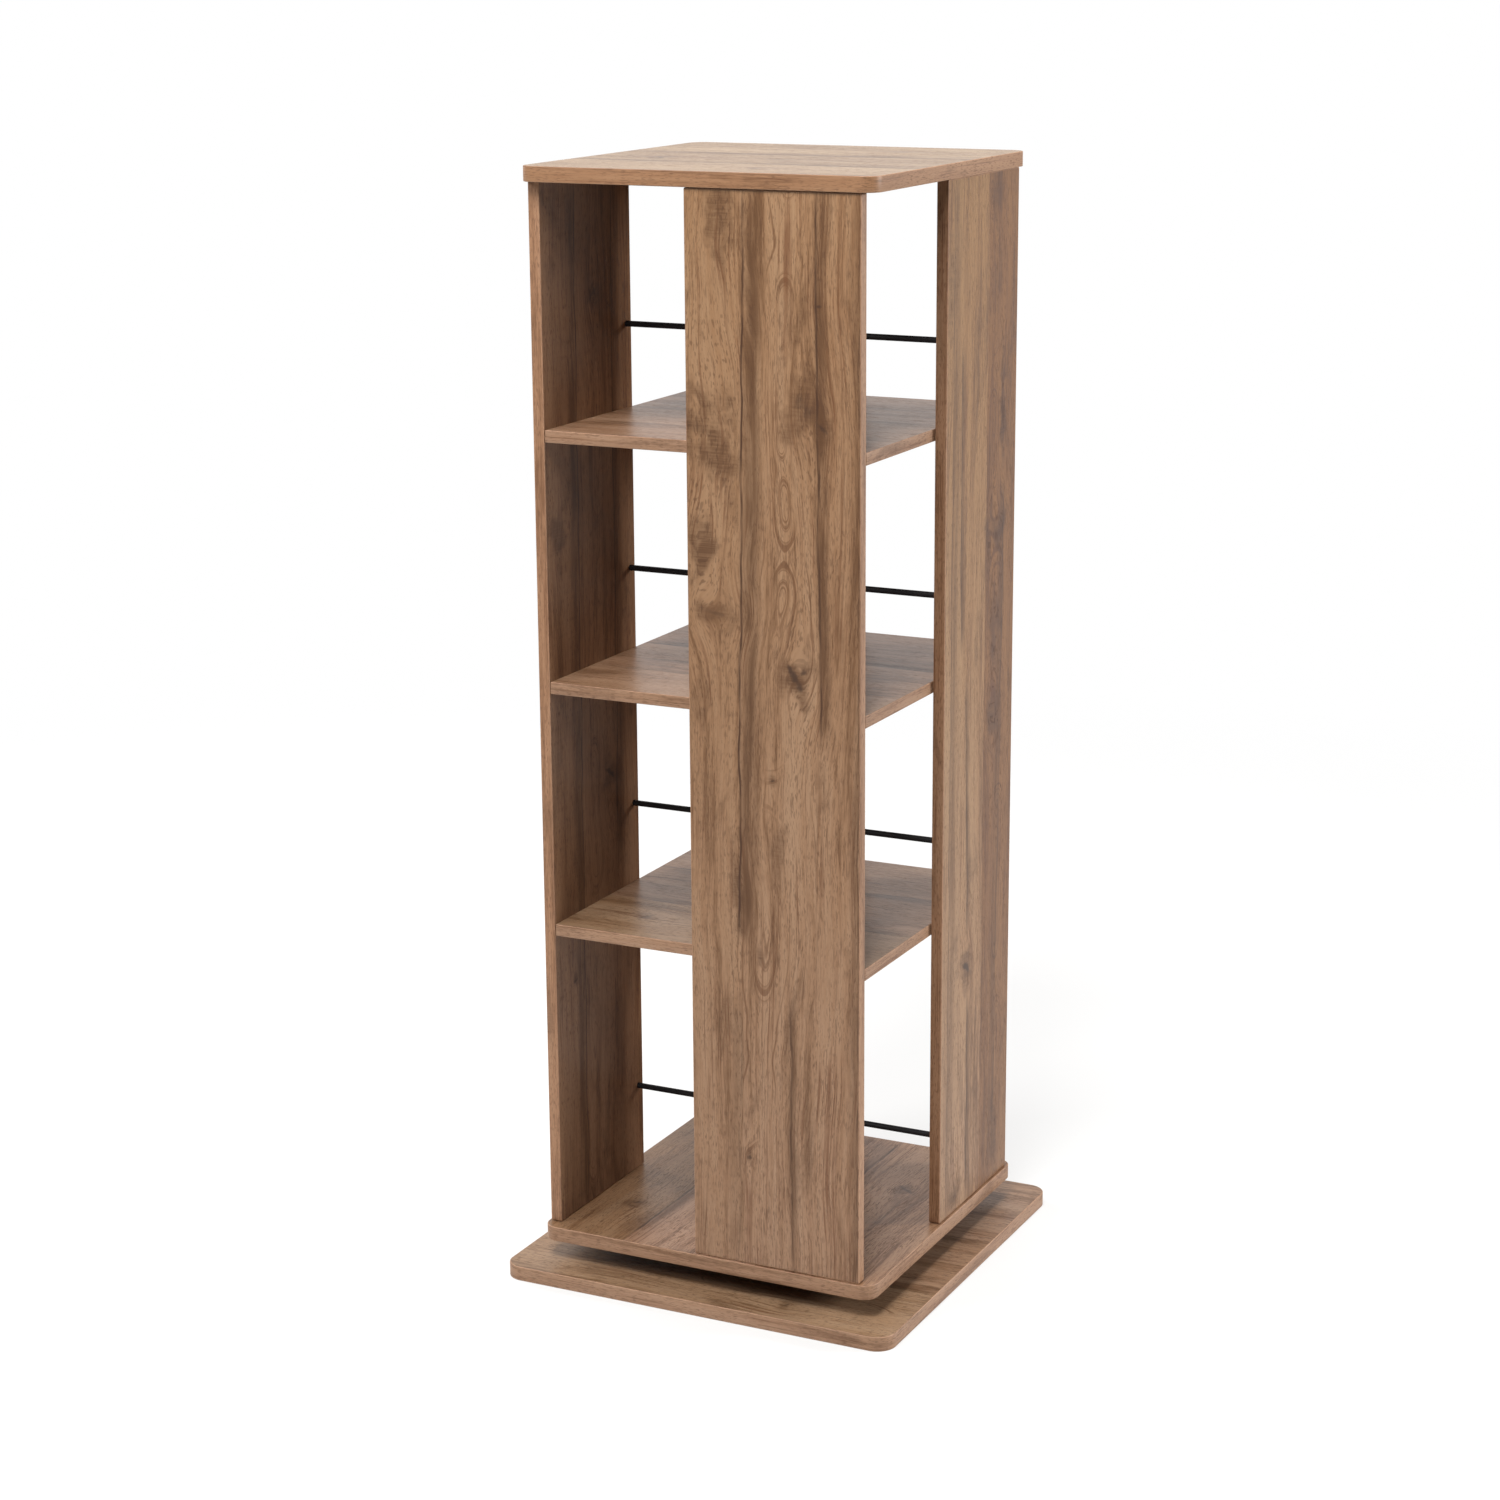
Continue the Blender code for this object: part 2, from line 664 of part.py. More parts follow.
def add_top_board():
    top_board = add_board(
        "top_board",
        (TOP_SIDE, TOP_SIDE, TOP_THICKNESS),
        (0.0, 0.0, TOP_LOW + TOP_THICKNESS / 2),
        OAK_BOARD,
        corner_radius=TOP_CORNER_RADIUS,
    )
    sockets = []
    for angle in SIDES.values():
        point = turn_to_side(angle, (PANEL_CENTRE_X, PANEL_CENTRE_Y, TOP_LOW))
        sockets.append(straight_hole(point, (0, 0, 1), DOWEL_RADIUS, DOWEL_LENGTH_IN_TOP))
    drill(top_board, "dowel_sockets", sockets)


def add_dowels():
    low = TOP_LOW - DOWEL_LENGTH_IN_PANEL
    length = DOWEL_LENGTH_IN_PANEL + DOWEL_LENGTH_IN_TOP
    profile = [
        (0.0, length),
        (DOWEL_RADIUS - DOWEL_EDGE_CUT, length),
        (DOWEL_RADIUS, length - DOWEL_EDGE_CUT),
        (DOWEL_RADIUS, DOWEL_EDGE_CUT),
        (DOWEL_RADIUS - DOWEL_EDGE_CUT, 0.0),
        (0.0, 0.0),
    ]
    for side, angle in SIDES.items():
        dowel = add_turned(f"top_dowel_{side}", profile, DOWEL_STEPS, BEECH)
        dowel.location = turn_to_side(angle, (PANEL_CENTRE_X, PANEL_CENTRE_Y, low))


def add_rods():
    """Steel rods across the carcass, with their ends in blind holes in two of the panels."""
    for number, level in enumerate(ROD_LEVELS, start=1):
        left_mouth, right_mouth = rod_mouths(level)
        along = (right_mouth - left_mouth).normalized()
        length = (right_mouth - left_mouth).length + 2 * ROD_SEAT_DEPTH
        profile = [
            (0.0, length),
            (ROD_DIAMETER / 2, length),
            (ROD_DIAMETER / 2, 0.0),
            (0.0, 0.0),
        ]
        rod = add_turned(f"book_rod_{number}", profile, ROD_STEPS, BLACK_STEEL)
        rod.matrix_world = frame_along(left_mouth - along * ROD_SEAT_DEPTH, along)


clear_scene()
PARTS = new_collection("revolving_bookcase")
CUTTERS = new_collection("cutters")

OAK_BOARD = new_material("oak_laminate", (0.40, 0.27, 0.18), 0.55, 0.0)
ZINC_STEEL = new_material("zinc_plated_steel", (0.58, 0.58, 0.60), 0.35, 1.0)
BALL_STEEL = new_material("bearing_steel", (0.50, 0.50, 0.52), 0.2, 1.0)
CAM_ZINC = new_material("cast_zinc", (0.46, 0.46, 0.48), 0.45, 1.0)
BLACK_STEEL = new_material("black_coated_steel", (0.02, 0.02, 0.02), 0.4, 0.0)
BEECH = new_material("beech", (0.62, 0.43, 0.26), 0.6, 0.0)

add_base_plate()
add_bearing_plate("bearing_lower_plate", (0.0, 0.0, BEARING_LOW), upside_down=False)
add_bearing_screws(
    "bearing_lower_screw", BEARING_LOW + BEARING_SHEET + FIT + BEARING_SCREW_HEAD_HEIGHT, False
)
add_ball_cage()
add_bearing_plate("bearing_upper_plate", (0.0, 0.0, BEARING_HIGH), upside_down=True)
add_bearing_screws(
    "bearing_upper_screw", BEARING_HIGH - BEARING_SHEET - FIT - BEARING_SCREW_HEAD_HEIGHT, True
)
add_pivot_rivet()
add_bottom_board()
add_panel_screws()
for side_name, side_angle in SIDES.items():
    add_panel(side_name, side_angle)
for shelf_number, top_level in enumerate(SHELF_TOPS, start=1):
    add_shelf(shelf_number, top_level)
    add_cam_nuts(shelf_number, top_level)
for shelf_number, bolt_level in enumerate(BOLT_LEVELS, start=1):
    add_cam_bolts(shelf_number, bolt_level)
add_top_board()
add_dowels()
add_rods()
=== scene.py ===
import math
from functools import partial

import bmesh
import bpy
from mathutils import Matrix, Vector


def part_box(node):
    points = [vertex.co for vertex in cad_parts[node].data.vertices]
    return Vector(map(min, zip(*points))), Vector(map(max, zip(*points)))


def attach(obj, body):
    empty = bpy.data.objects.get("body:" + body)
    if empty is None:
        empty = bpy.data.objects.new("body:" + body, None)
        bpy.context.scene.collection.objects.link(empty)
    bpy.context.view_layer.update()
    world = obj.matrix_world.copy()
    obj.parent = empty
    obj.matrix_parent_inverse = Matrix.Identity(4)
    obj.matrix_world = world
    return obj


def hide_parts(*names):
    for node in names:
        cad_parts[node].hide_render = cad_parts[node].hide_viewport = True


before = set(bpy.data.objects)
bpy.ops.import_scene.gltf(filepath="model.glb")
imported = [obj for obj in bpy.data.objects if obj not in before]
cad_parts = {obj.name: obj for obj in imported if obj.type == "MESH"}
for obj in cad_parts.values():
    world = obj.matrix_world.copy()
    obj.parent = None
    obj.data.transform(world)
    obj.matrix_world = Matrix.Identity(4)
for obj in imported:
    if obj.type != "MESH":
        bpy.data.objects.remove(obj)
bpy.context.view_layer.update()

# Base plate. The still square board that the bookcase turns over: 15 mm particle board, faced on both
# sides with an oak print under melamine, cut with rounded corners and edged with a 1 mm plastic strip
# that is glued on and scraped round.
BASE_CORNER_RADIUS = 0.020
EDGING_THICKNESS = 0.001
GLUE_LINE = 0.00005
ARRIS_RADIUS = 0.0009
ARRIS_STEPS = 4
ARRIS_ANGLE = math.radians(15.0)
CORNER_STEPS = 14
WELD_DISTANCE = 1e-6
BOARD_SIZES = ("Width", "Length", "Thickness", "Corner radius")
STRIP_SIZES = {"Strip": EDGING_THICKNESS, "Arris": ARRIS_RADIUS}


def add_node(tree, kind, *inputs, **settings):
    """A node with its settings made and its sockets filled, in order or from one dict by name. A value is
    set, and a socket, or a node's first output in use, is linked; a list links several. A kind in
    capitals is an operation of the Math node."""
    if kind.isupper():
        kind, settings = "ShaderNodeMath", {"operation": kind, **settings}
    node = tree.nodes.new(kind)
    for setting, value in settings.items():
        setattr(node, setting, value)
    named = inputs[0] if inputs and isinstance(inputs[0], dict) else dict(enumerate(inputs))
    for key, value in named.items():
        for source in value if isinstance(value, list) else [value]:
            if isinstance(source, bpy.types.Node):
                source = next(output for output in source.outputs if output.enabled)
            if isinstance(source, bpy.types.NodeSocket):
                tree.links.new(source, node.inputs[key])
            else:
                node.inputs[key].default_value = source
    return node


def new_tree(name, kind, inputs, outputs={"Geometry": ["Geometry"]}):
    """A node group, with its sockets' names by kind. With it come its own add_node and its inputs."""
    tree = bpy.data.node_groups.new(name, kind)
    for in_out, sockets in (("INPUT", inputs), ("OUTPUT", outputs)):
        for socket_kind, names in sockets.items():
            for socket in names:
                tree.interface.new_socket(socket, in_out=in_out, socket_type=f"NodeSocket{socket_kind}")
    return tree, partial(add_node, tree), tree.nodes.new("NodeGroupInput").outputs


def end_shape(add, given, shape):
    """The end of each tree that makes a shape: its copies made real, and its finish put on."""
    real = add("GeometryNodeRealizeInstances", shape)
    add("NodeGroupOutput", add("GeometryNodeSetMaterial", {"Geometry": real, "Material": given["Finish"]}))


def new_object(name, data):
    """An object of this data, in the scene and at the origin."""
    made = bpy.data.objects.new(name, data)
    bpy.context.scene.collection.objects.link(made)
    return made


def carry_out(thing):
    """The mesh that an object's modifier makes takes the place of its own, and the modifier goes."""
    evaluated = thing.evaluated_get(bpy.context.evaluated_depsgraph_get())
    made = bpy.data.meshes.new_from_object(evaluated)
    thing.modifiers.clear()
    thing.data = made


def make_from(tree, name, sizes, points=(), turns=()):
    """The plain mesh that a Geometry Nodes tree makes from these sizes, as an object at the origin. The
    tree may repeat a shape on points, each turned by its own angles."""
    carrier = new_object(name, bpy.data.meshes.new(name))
    carrier.data.from_pydata(points, [], [])
    if turns:
        stored = carrier.data.attributes.new("turn", "FLOAT_VECTOR", "POINT")
        for index, turn in enumerate(turns):
            stored.data[index].vector = turn
    modifier = carrier.modifiers.new("shape", "NODES")
    modifier.node_group = tree
    for item in tree.interface.items_tree:
        if item.name in sizes:
            modifier[item.identifier] = sizes[item.name]
    carry_out(carrier)
    return carrier


def rounded_outline(add, given):
    """The outline of a board, seen from above, with round corners."""
    sides = add("GeometryNodeCurvePrimitiveQuadrilateral", given["Width"], given["Length"])
    rounding = {"Curve": sides, "Radius": given["Corner radius"], "Count": CORNER_STEPS}
    return add("GeometryNodeFilletCurve", rounding, mode="POLY")


def slab_tree():
    """The particle board itself: a filled outline, raised to its thickness about its middle."""
    inputs = {"Float": BOARD_SIZES, "Material": ["Finish"]}
    tree, add, given = new_tree("edged board slab", "GeometryNodeTree", inputs)
    face = add("GeometryNodeFillCurve", rounded_outline(add, given), mode="NGONS")
    height = add("ShaderNodeCombineXYZ", {"Z": given["Thickness"]})
    raising = {"Mesh": face, "Offset": height, "Individual": False}
    raised = add("GeometryNodeExtrudeMesh", raising, mode="FACES")
    both = add("GeometryNodeJoinGeometry", [raised, add("GeometryNodeFlipFaces", face)])
    closed = add("GeometryNodeMergeByDistance", {"Geometry": both, "Distance": WELD_DISTANCE})
    down = add("ShaderNodeCombineXYZ", {"Z": add("MULTIPLY", given["Thickness"], -0.5)})
    end_shape(add, given, add("GeometryNodeTransform", {"Geometry": closed, "Translation": down}))
    return tree


def edging_tree():
    """The edging strip: its section, scraped round at the two outer arrises, carried round the outline.
    The attribute arris is 1 along the scraped corners, where the plastic shows paler than its print."""
    inputs = {"Float": [*BOARD_SIZES, *STRIP_SIZES], "Material": ["Finish"]}
    tree, add, given = new_tree("edging strip", "GeometryNodeTree", inputs)
    section = add("GeometryNodeCurvePrimitiveQuadrilateral", given["Strip"], given["Thickness"])
    spot = add("ShaderNodeSeparateXYZ", add("GeometryNodeInputPosition")).outputs
    arris = add("MULTIPLY", add("GREATER_THAN", spot["X"], 0.0), given["Arris"])
    rounding = {"Curve": section, "Radius": arris, "Count": ARRIS_STEPS}
    scraped = add("GeometryNodeFilletCurve", rounding, mode="POLY")
    past_arris = []
    for place, size in ((spot["X"], given["Strip"]), (add("ABSOLUTE", spot["Y"]), given["Thickness"])):
        arris_start = add("SUBTRACT", add("MULTIPLY", size, 0.5), given["Arris"])
        past_arris.append(add("SUBTRACT", place, arris_start))
    share = add("DIVIDE", add("MINIMUM", *past_arris), given["Arris"], use_clamp=True)
    stored = {"Geometry": scraped, "Name": "arris", "Value": share}
    marked = add("GeometryNodeStoreNamedAttribute", stored, data_type="FLOAT", domain="POINT")
    path = rounded_outline(add, given)
    end_shape(add, given, add("GeometryNodeCurveToMesh", {"Curve": path, "Profile Curve": marked}))
    return tree


slab_shape = slab_tree()
edging_shape = edging_tree()

# A mark of the print fades in and out softly.
SOFT_ENDS = {"interpolation_type": "SMOOTHSTEP"}


def linear(hex_code, alpha=1.0):
    """An sRGB hex colour as the linear RGBA that Blender's sockets hold."""
    channels = []
    for start in (1, 3, 5):
        value = int(hex_code[start:start + 2], 16) / 255
        channels.append(value / 12.92 if value <= 0.04045 else ((value + 0.055) / 1.055) ** 2.4)
    return (*channels, alpha)


def set_stops(ramp, stops):
    """The colours of a ramp, each from its place between 0 and 1."""
    elements = ramp.color_ramp.elements
    elements.remove(elements[1])
    for index, (place, colour) in enumerate(stops):
        stop = elements.new(place) if index else elements[0]
        stop.position = place
        stop.color = linear(colour)


def knot_group():
    """One knot of the print, from its place, width and height in mm. Lean is how far the grain lines are
    pushed aside to pass round it, Smoke the brown cloud round it, and Core its dark heart, a split that
    lies at the angle Turn. Swell and Wobble make the outlines of these two ragged."""
    inputs = {"Vector": ["Place", "Centre"], "Float": ["Width", "Height", "Turn", "Wobble", "Swell"]}
    outputs = {"Float": ["Lean", "Smoke", "Core"]}
    tree, add, given = new_tree("knot in the print", "ShaderNodeTree", inputs, outputs)
    away = add("ShaderNodeVectorMath", given["Place"], given["Centre"], operation="SUBTRACT")
    turned = add("ShaderNodeVectorRotate", {"Vector": away, "Angle": given["Turn"]}, rotation_type="Z_AXIS")
    size = add("ShaderNodeCombineXYZ", given["Width"], given["Height"], 1.0)
    reach = {}
    for part, from_centre, shares_of_size in (
        ("Lean", away, (0.8, 2.6, 1.0)),
        ("Smoke", away, (1.0, 1.5, 1.0)),
        ("Core", turned, (0.50, 0.20, 1.0)),
    ):
        spread = add("ShaderNodeVectorMath", size, shares_of_size, operation="MULTIPLY")
        scaled = add("ShaderNodeVectorMath", from_centre, spread, operation="DIVIDE")
        reach[part] = add("ShaderNodeVectorMath", scaled, operation="LENGTH")
    falling_off = add("ADD", add("POWER", reach["Lean"], 2.0), 1.0)
    sideways = add("ShaderNodeSeparateXYZ", away).outputs["X"]
    made = {"Lean": add("MULTIPLY", add("DIVIDE", sideways, falling_off), -0.7)}
    for part, unrest, share, outer, inner in (
        ("Smoke", "Swell", 3.2, 1.2, 0.1),
        ("Core", "Wobble", 3.4, 1.45, 0.15),
    ):
        ragged = add("MULTIPLY_ADD", given[unrest], share, reach[part])
        made[part] = add("ShaderNodeMapRange", ragged, outer, inner, **SOFT_ENDS)
    add("NodeGroupOutput", made)
    return tree


# The layers of the print. Each is a noise: the width and length of its cells in mm, then its detail,
# roughness and distortion. A mark starts at one value of its noise, is full at the next, and is never
# less than the third.
PRINT_LAYERS = {
    "bands": (21.0, 380.0, 1.0, 0.5, 0.0),
    "streaks": (5.0, 150.0, 4.0, 0.64, 0.0),
    "fibres": (1.0, 24.0, 2.0, 0.6, 0.0),
    "ring patches": (30.0, 170.0, 2.0, 0.5, 0.0, (0.36, 0.60, 0.0)),
    "growth lines": (1.6, 190.0, 2.0, 0.6, 0.0, (0.53, 0.64, 0.0)),
    "line patches": (17.0, 110.0, 2.0, 0.5, 0.0, (0.38, 0.62, 0.0)),
    "fine pores": (0.8, 7.0, 1.0, 0.5, 0.0, (0.55, 0.66, 0.0)),
    "long pores": (1.3, 20.0, 2.0, 0.5, 0.0, (0.58, 0.69, 0.0)),
    "pore patches": (15.0, 70.0, 2.0, 0.5, 0.0, (0.30, 0.56, 0.35)),
    "cloud cells": (24.0, 120.0, 4.0, 0.6, 0.6, (0.54, 0.72, 0.0)),
    "ripple": (11.0, 1.9, 1.0, 0.5, 0.0, (0.30, 0.70, 0.0)),
    "shade cells": (9.0, 130.0, 3.0, 0.6, 0.0, (0.34, 0.60, 0.32)),
}
TONE_SHARES = {"bands": 0.36, "streaks": 0.38, "fibres": 0.26}
TONE_MIDDLE = 0.49
TONE_STOPS = ((0.37, "#6f4e35"), (0.465, "#926e53"), (0.62, "#9d7b61"))
# The heart line dips under the face and comes up again along the board: in mm, over this run and by as
# much as this depth, from this value of its noise.
HEART_RUN = 120.0
HEART_DEPTH = 70.0
HEART_UP = 0.42
RING_GAP = 2.5
RINGS_SHOW = (0.56, 0.68)
RINGS_END = 75.0
RINGS_FULL = 18.0
RINGS_LEAST = 0.22


def print_group():
    """The printed grain in mm: x across the grain, y along it, z a number that makes each board its own.
    Under all lie soft bands, streaks and fibres. Rings are one noise over the distance from the heart
    line, so that they close into flames and eyes where the heart runs near the face. Over them come
    smoke with a fine ripple across the grain, as knotty oak has, and short dark pores."""
    inputs = {
        "Vector": ["Place"],
        "Float": ["Heart", "Cloud", "Core", "Seam", "Shade", "Strength"],
        "Color": ["Tint"],
    }
    outputs = {"Color": ["Color"], "Float": ["Relief", "Roughness"]}
    tree, add, given = new_tree("knotty oak print", "ShaderNodeTree", inputs, outputs)
    layer = {}
    for name, (width, length, detail, roughness, distortion, *shown) in PRINT_LAYERS.items():
        scale = (1 / width, 1 / length, 1.0)
        cells = add("ShaderNodeVectorMath", given["Place"], scale, operation="MULTIPLY")
        noise_sizes = {"Scale": 1.0, "Detail": detail, "Roughness": roughness, "Distortion": distortion}
        layer[name] = add("ShaderNodeTexNoise", {"Vector": cells, **noise_sizes})
        for first, full, least in shown:
            layer[name] = add("ShaderNodeMapRange", layer[name], first, full, least, **SOFT_ENDS)

    across, along, number = add("ShaderNodeSeparateXYZ", given["Place"]).outputs
    from_heart = add("SUBTRACT", across, given["Heart"])
    heart_run = add("ShaderNodeCombineXYZ", add("MULTIPLY", along, 1 / HEART_RUN), number)
    heart_noise = {"Vector": heart_run, "Scale": 1.0, "Detail": 1.0}
    dip = add("SUBTRACT", add("ShaderNodeTexNoise", heart_noise, noise_dimensions="2D"), HEART_UP)
    from_line = add("ShaderNodeCombineXYZ", from_heart, add("MULTIPLY", dip, HEART_DEPTH))
    radius = add("ShaderNodeVectorMath", from_line, operation="LENGTH")
    ring_run = add("ShaderNodeCombineXYZ", add("MULTIPLY", radius, 1 / RING_GAP), number)
    ring_noise = {"Vector": ring_run, "Scale": 1.0, "Detail": 2.0, "Roughness": 0.6}
    all_rings = add("ShaderNodeTexNoise", ring_noise, noise_dimensions="2D")
    beside = add("ABSOLUTE", from_heart)
    near_heart = add("ShaderNodeMapRange", beside, RINGS_END, RINGS_FULL, RINGS_LEAST, **SOFT_ENDS)
    ring_fade = add("MULTIPLY", layer["ring patches"], near_heart)
    rings = add("MULTIPLY", add("ShaderNodeMapRange", all_rings, *RINGS_SHOW, **SOFT_ENDS), ring_fade)

    lines = add("MULTIPLY", layer["growth lines"], layer["line patches"])
    pores = add("MULTIPLY", add("MAXIMUM", layer["fine pores"], layer["long pores"]), layer["pore patches"])
    smoke = add("MAXIMUM", add("MULTIPLY", layer["cloud cells"], 0.6), given["Cloud"])
    cloud = add("MULTIPLY", smoke, add("MULTIPLY_ADD", layer["ripple"], 0.28, 0.76))
    shade = add("MULTIPLY", given["Shade"], layer["shade cells"])

    tone = 0.0
    for name, share in TONE_SHARES.items():
        tone = add("MULTIPLY_ADD", layer[name], share, tone)
    contrast = add("MULTIPLY_ADD", add("SUBTRACT", tone, TONE_MIDDLE), given["Strength"], TONE_MIDDLE)
    colour = add("ShaderNodeValToRGB", contrast)
    set_stops(colour, TONE_STOPS)
    for marks, ink, most in (
        (rings, "#65422a", 0.66),
        (lines, "#69432b", 0.66),
        (cloud, "#573923", 0.80),
        (shade, "#54361f", 0.80),
        (pores, "#4c2f1c", 0.46),
        (given["Seam"], "#3e2413", 0.86),
        (given["Core"], "#362115", 0.74),
    ):
        amount = add("MULTIPLY", add("MULTIPLY", marks, most), given["Strength"])
        colour = add("ShaderNodeMix", {"Factor": amount, "A": colour, "B": linear(ink)}, data_type="RGBA")
    tinting = {"Factor": 1.0, "A": colour, "B": given["Tint"]}
    made = {
        "Color": add("ShaderNodeMix", tinting, data_type="RGBA", blend_type="MULTIPLY"),
        "Relief": add("SUBTRACT", add("MULTIPLY", layer["fibres"], 0.5), pores),
        "Roughness": add("MULTIPLY_ADD", layer["streaks"], 0.14, add("MULTIPLY_ADD", pores, 0.12, 0.27)),
    }
    add("NodeGroupOutput", made)
    return tree


knot_print = knot_group()
oak_grain = print_group()

MM = 1000.0
MELAMINE_SHEEN = 0.33
MELAMINE_IOR = 1.5
# The unrest of one board's grain: the width and length of each noise's cells in mm, and its detail.
UNREST = {
    "grain": (150.0, 230.0, 2.0),
    "knot core": (8.0, 11.0, 3.0),
    "knot smoke": (19.0, 30.0, 4.0),
    "seam": (60.0, 75.0, 2.0),
    "seam breaks": (3.0, 45.0, 2.0),
}
GRAIN_WANDER = 22.0
SEAM_WANDER = 9.0
SEAM_BREAKS_SHOW = (-0.16, 0.10, 0.4, 1.0)
CRACK_EDGE = 1.9
CRACK_MIDDLE = 0.3
SHADE_MARGIN = 6.0
SEAM_END_FADE = (12.0, -30.0)
STAVE_RAMP_WIDTH = 500.0
STAVE_NUMBER_STEP = 7.3
# The height in mm over which the painted light and sheen along a panel change.
PAINTED_LIGHT_DRIFT_LENGTH = 1120.0


def new_material(name):
    """An empty material, with its own add_node and the place on the object."""
    material = bpy.data.materials.new(name)
    material.use_nodes = True
    material.node_tree.nodes.clear()
    add = partial(add_node, material.node_tree)
    return material, add, add("ShaderNodeTexCoord").outputs["Object"]


def oak_print(name, across, along, start, heart, seams=(), knots=(), tints=((0.0, "#ffffff"),), painted_light_drift=(),
              strength=1.15, sheen=MELAMINE_SHEEN, number=0.0):
    """Knotty oak décor: printed paper under melamine, pressed between textured plates. It gives a satin,
    warm mid brown with long streaks, staves of unlike tone, and a few soft dark knots. Places are in mm
    on the board: across the grain from start, and along it in the object's own coordinate.
    heart: where the heart line runs at along = 0 and at along = 1000
    seams: (across at the far end, across at the near end, far end, near end, darkness, shaded side)
    knots: (across, along, width, height, turn in degrees, smoke, heart's darkness)
    tints: (across, colour that the print is multiplied by), each to the next one's start
    painted_light_drift: painted light and sheen, which fall unlike at a panel's foot and top: the colours at
    along = 0 and at along = 1120 that the print is multiplied by, so the tone changes along the boards
    strength: how dark the marks are printed"""
    material, add, where = new_material(name)
    spot = add("ShaderNodeSeparateXYZ", where).outputs
    across_mm = add("MULTIPLY_ADD", spot[across], MM, -MM * start)
    along_mm = add("MULTIPLY", spot[along], MM)
    place = add("ShaderNodeCombineXYZ", across_mm, along_mm, number)
    unrest = {}
    for part, (width, length, detail) in UNREST.items():
        cells = add("ShaderNodeVectorMath", place, (1 / width, 1 / length, 1.0), operation="MULTIPLY")
        noise = add("ShaderNodeTexNoise", {"Vector": cells, "Scale": 1.0, "Detail": detail})
        unrest[part] = add("SUBTRACT", noise, 0.5)

    lean, cloud, core = 0.0, 0.0, 0.0
    for knot_across, knot_along, width, height, turn, smoke, heart_dark in knots:
        sizes = {
            "Place": place,
            "Centre": (knot_across, knot_along, number),
            "Width": width,
            "Height": height,
            "Turn": math.radians(-turn),
            "Wobble": unrest["knot core"],
            "Swell": unrest["knot smoke"],
        }
        knot = add("ShaderNodeGroup", sizes, node_tree=knot_print).outputs
        lean = add("ADD", lean, knot["Lean"])
        cloud = add("MAXIMUM", cloud, add("MULTIPLY", knot["Smoke"], smoke))
        core = add("MAXIMUM", core, add("MULTIPLY", knot["Core"], heart_dark))

    seam_across = add("MULTIPLY_ADD", unrest["seam"], SEAM_WANDER, across_mm)
    seam_fade = add("ShaderNodeMapRange", unrest["seam breaks"], *SEAM_BREAKS_SHOW, **SOFT_ENDS)
    seam_dark, shade_dark = 0.0, 0.0
    for far_across, near_across, far_end, near_end, darkness, shaded_side in seams:
        line = add("ShaderNodeMapRange", along_mm, near_end, far_end, near_across, far_across, clamp=False)
        aside = add("SUBTRACT", seam_across, line)
        crack = add("ShaderNodeMapRange", add("ABSOLUTE", aside), CRACK_EDGE, CRACK_MIDDLE, **SOFT_ENDS)
        from_shade = add("ABSOLUTE", add("SUBTRACT", aside, shaded_side))
        shade = add("ShaderNodeMapRange", from_shade, abs(shaded_side) + SHADE_MARGIN, 0.0, **SOFT_ENDS)
        beyond = add("MAXIMUM", add("SUBTRACT", along_mm, far_end), add("SUBTRACT", near_end, along_mm))
        within = add("ShaderNodeMapRange", beyond, *SEAM_END_FADE, 0.0, darkness, **SOFT_ENDS)
        seam_dark = add("MAXIMUM", seam_dark, add("MULTIPLY", add("MULTIPLY", crack, within), seam_fade))
        shade_dark = add("MAXIMUM", shade_dark, add("MULTIPLY", shade, within))

    tint = add("ShaderNodeValToRGB", add("MULTIPLY", seam_across, 1 / STAVE_RAMP_WIDTH))
    tint.color_ramp.interpolation = "CONSTANT"
    set_stops(tint, [(tint_across / STAVE_RAMP_WIDTH, stave) for tint_across, stave in tints])
    stave_number = 0.0
    for tint_across, stave in tints[1:]:
        stave_number = add("ADD", stave_number, add("GREATER_THAN", seam_across, tint_across))
    # Painted light: the print is tinted from one colour at a panel's foot to another at its top, for the
    # lamps and the sheen that fall unlike along its height.
    if painted_light_drift:
        share = add("MULTIPLY", along_mm, 1 / PAINTED_LIGHT_DRIFT_LENGTH)
        ends = {"Factor": share, "A": linear(painted_light_drift[0]), "B": linear(painted_light_drift[1])}
        tinting = {"Factor": 1.0, "A": tint, "B": add("ShaderNodeMix", ends, data_type="RGBA")}
        tint = add("ShaderNodeMix", tinting, data_type="RGBA", blend_type="MULTIPLY")

    wandering = add("ADD", across_mm, add("MULTIPLY", unrest["grain"], GRAIN_WANDER))
    stave_own = add("MULTIPLY_ADD", stave_number, STAVE_NUMBER_STEP, number)
    sizes = {
        "Place": add("ShaderNodeCombineXYZ", add("ADD", wandering, lean), along_mm, stave_own),
        "Heart": add("MULTIPLY_ADD", along_mm, (heart[1] - heart[0]) / 1000, heart[0]),
        "Cloud": cloud,
        "Core": core,
        "Seam": seam_dark,
        "Shade": shade_dark,
        "Strength": strength,
        "Tint": tint,
    }
    grain = add("ShaderNodeGroup", sizes, node_tree=oak_grain).outputs
    surface = {
        "Base Color": grain["Color"],
        "Roughness": grain["Roughness"],
        "IOR": MELAMINE_IOR,
        "Specular IOR Level": sheen,
        "Normal": add("ShaderNodeBump", {"Height": grain["Relief"], "Strength": 0.35, "Distance": 0.1 / MM}),
    }
    add("ShaderNodeOutputMaterial", add("ShaderNodeBsdfPrincipled", surface))
    return material


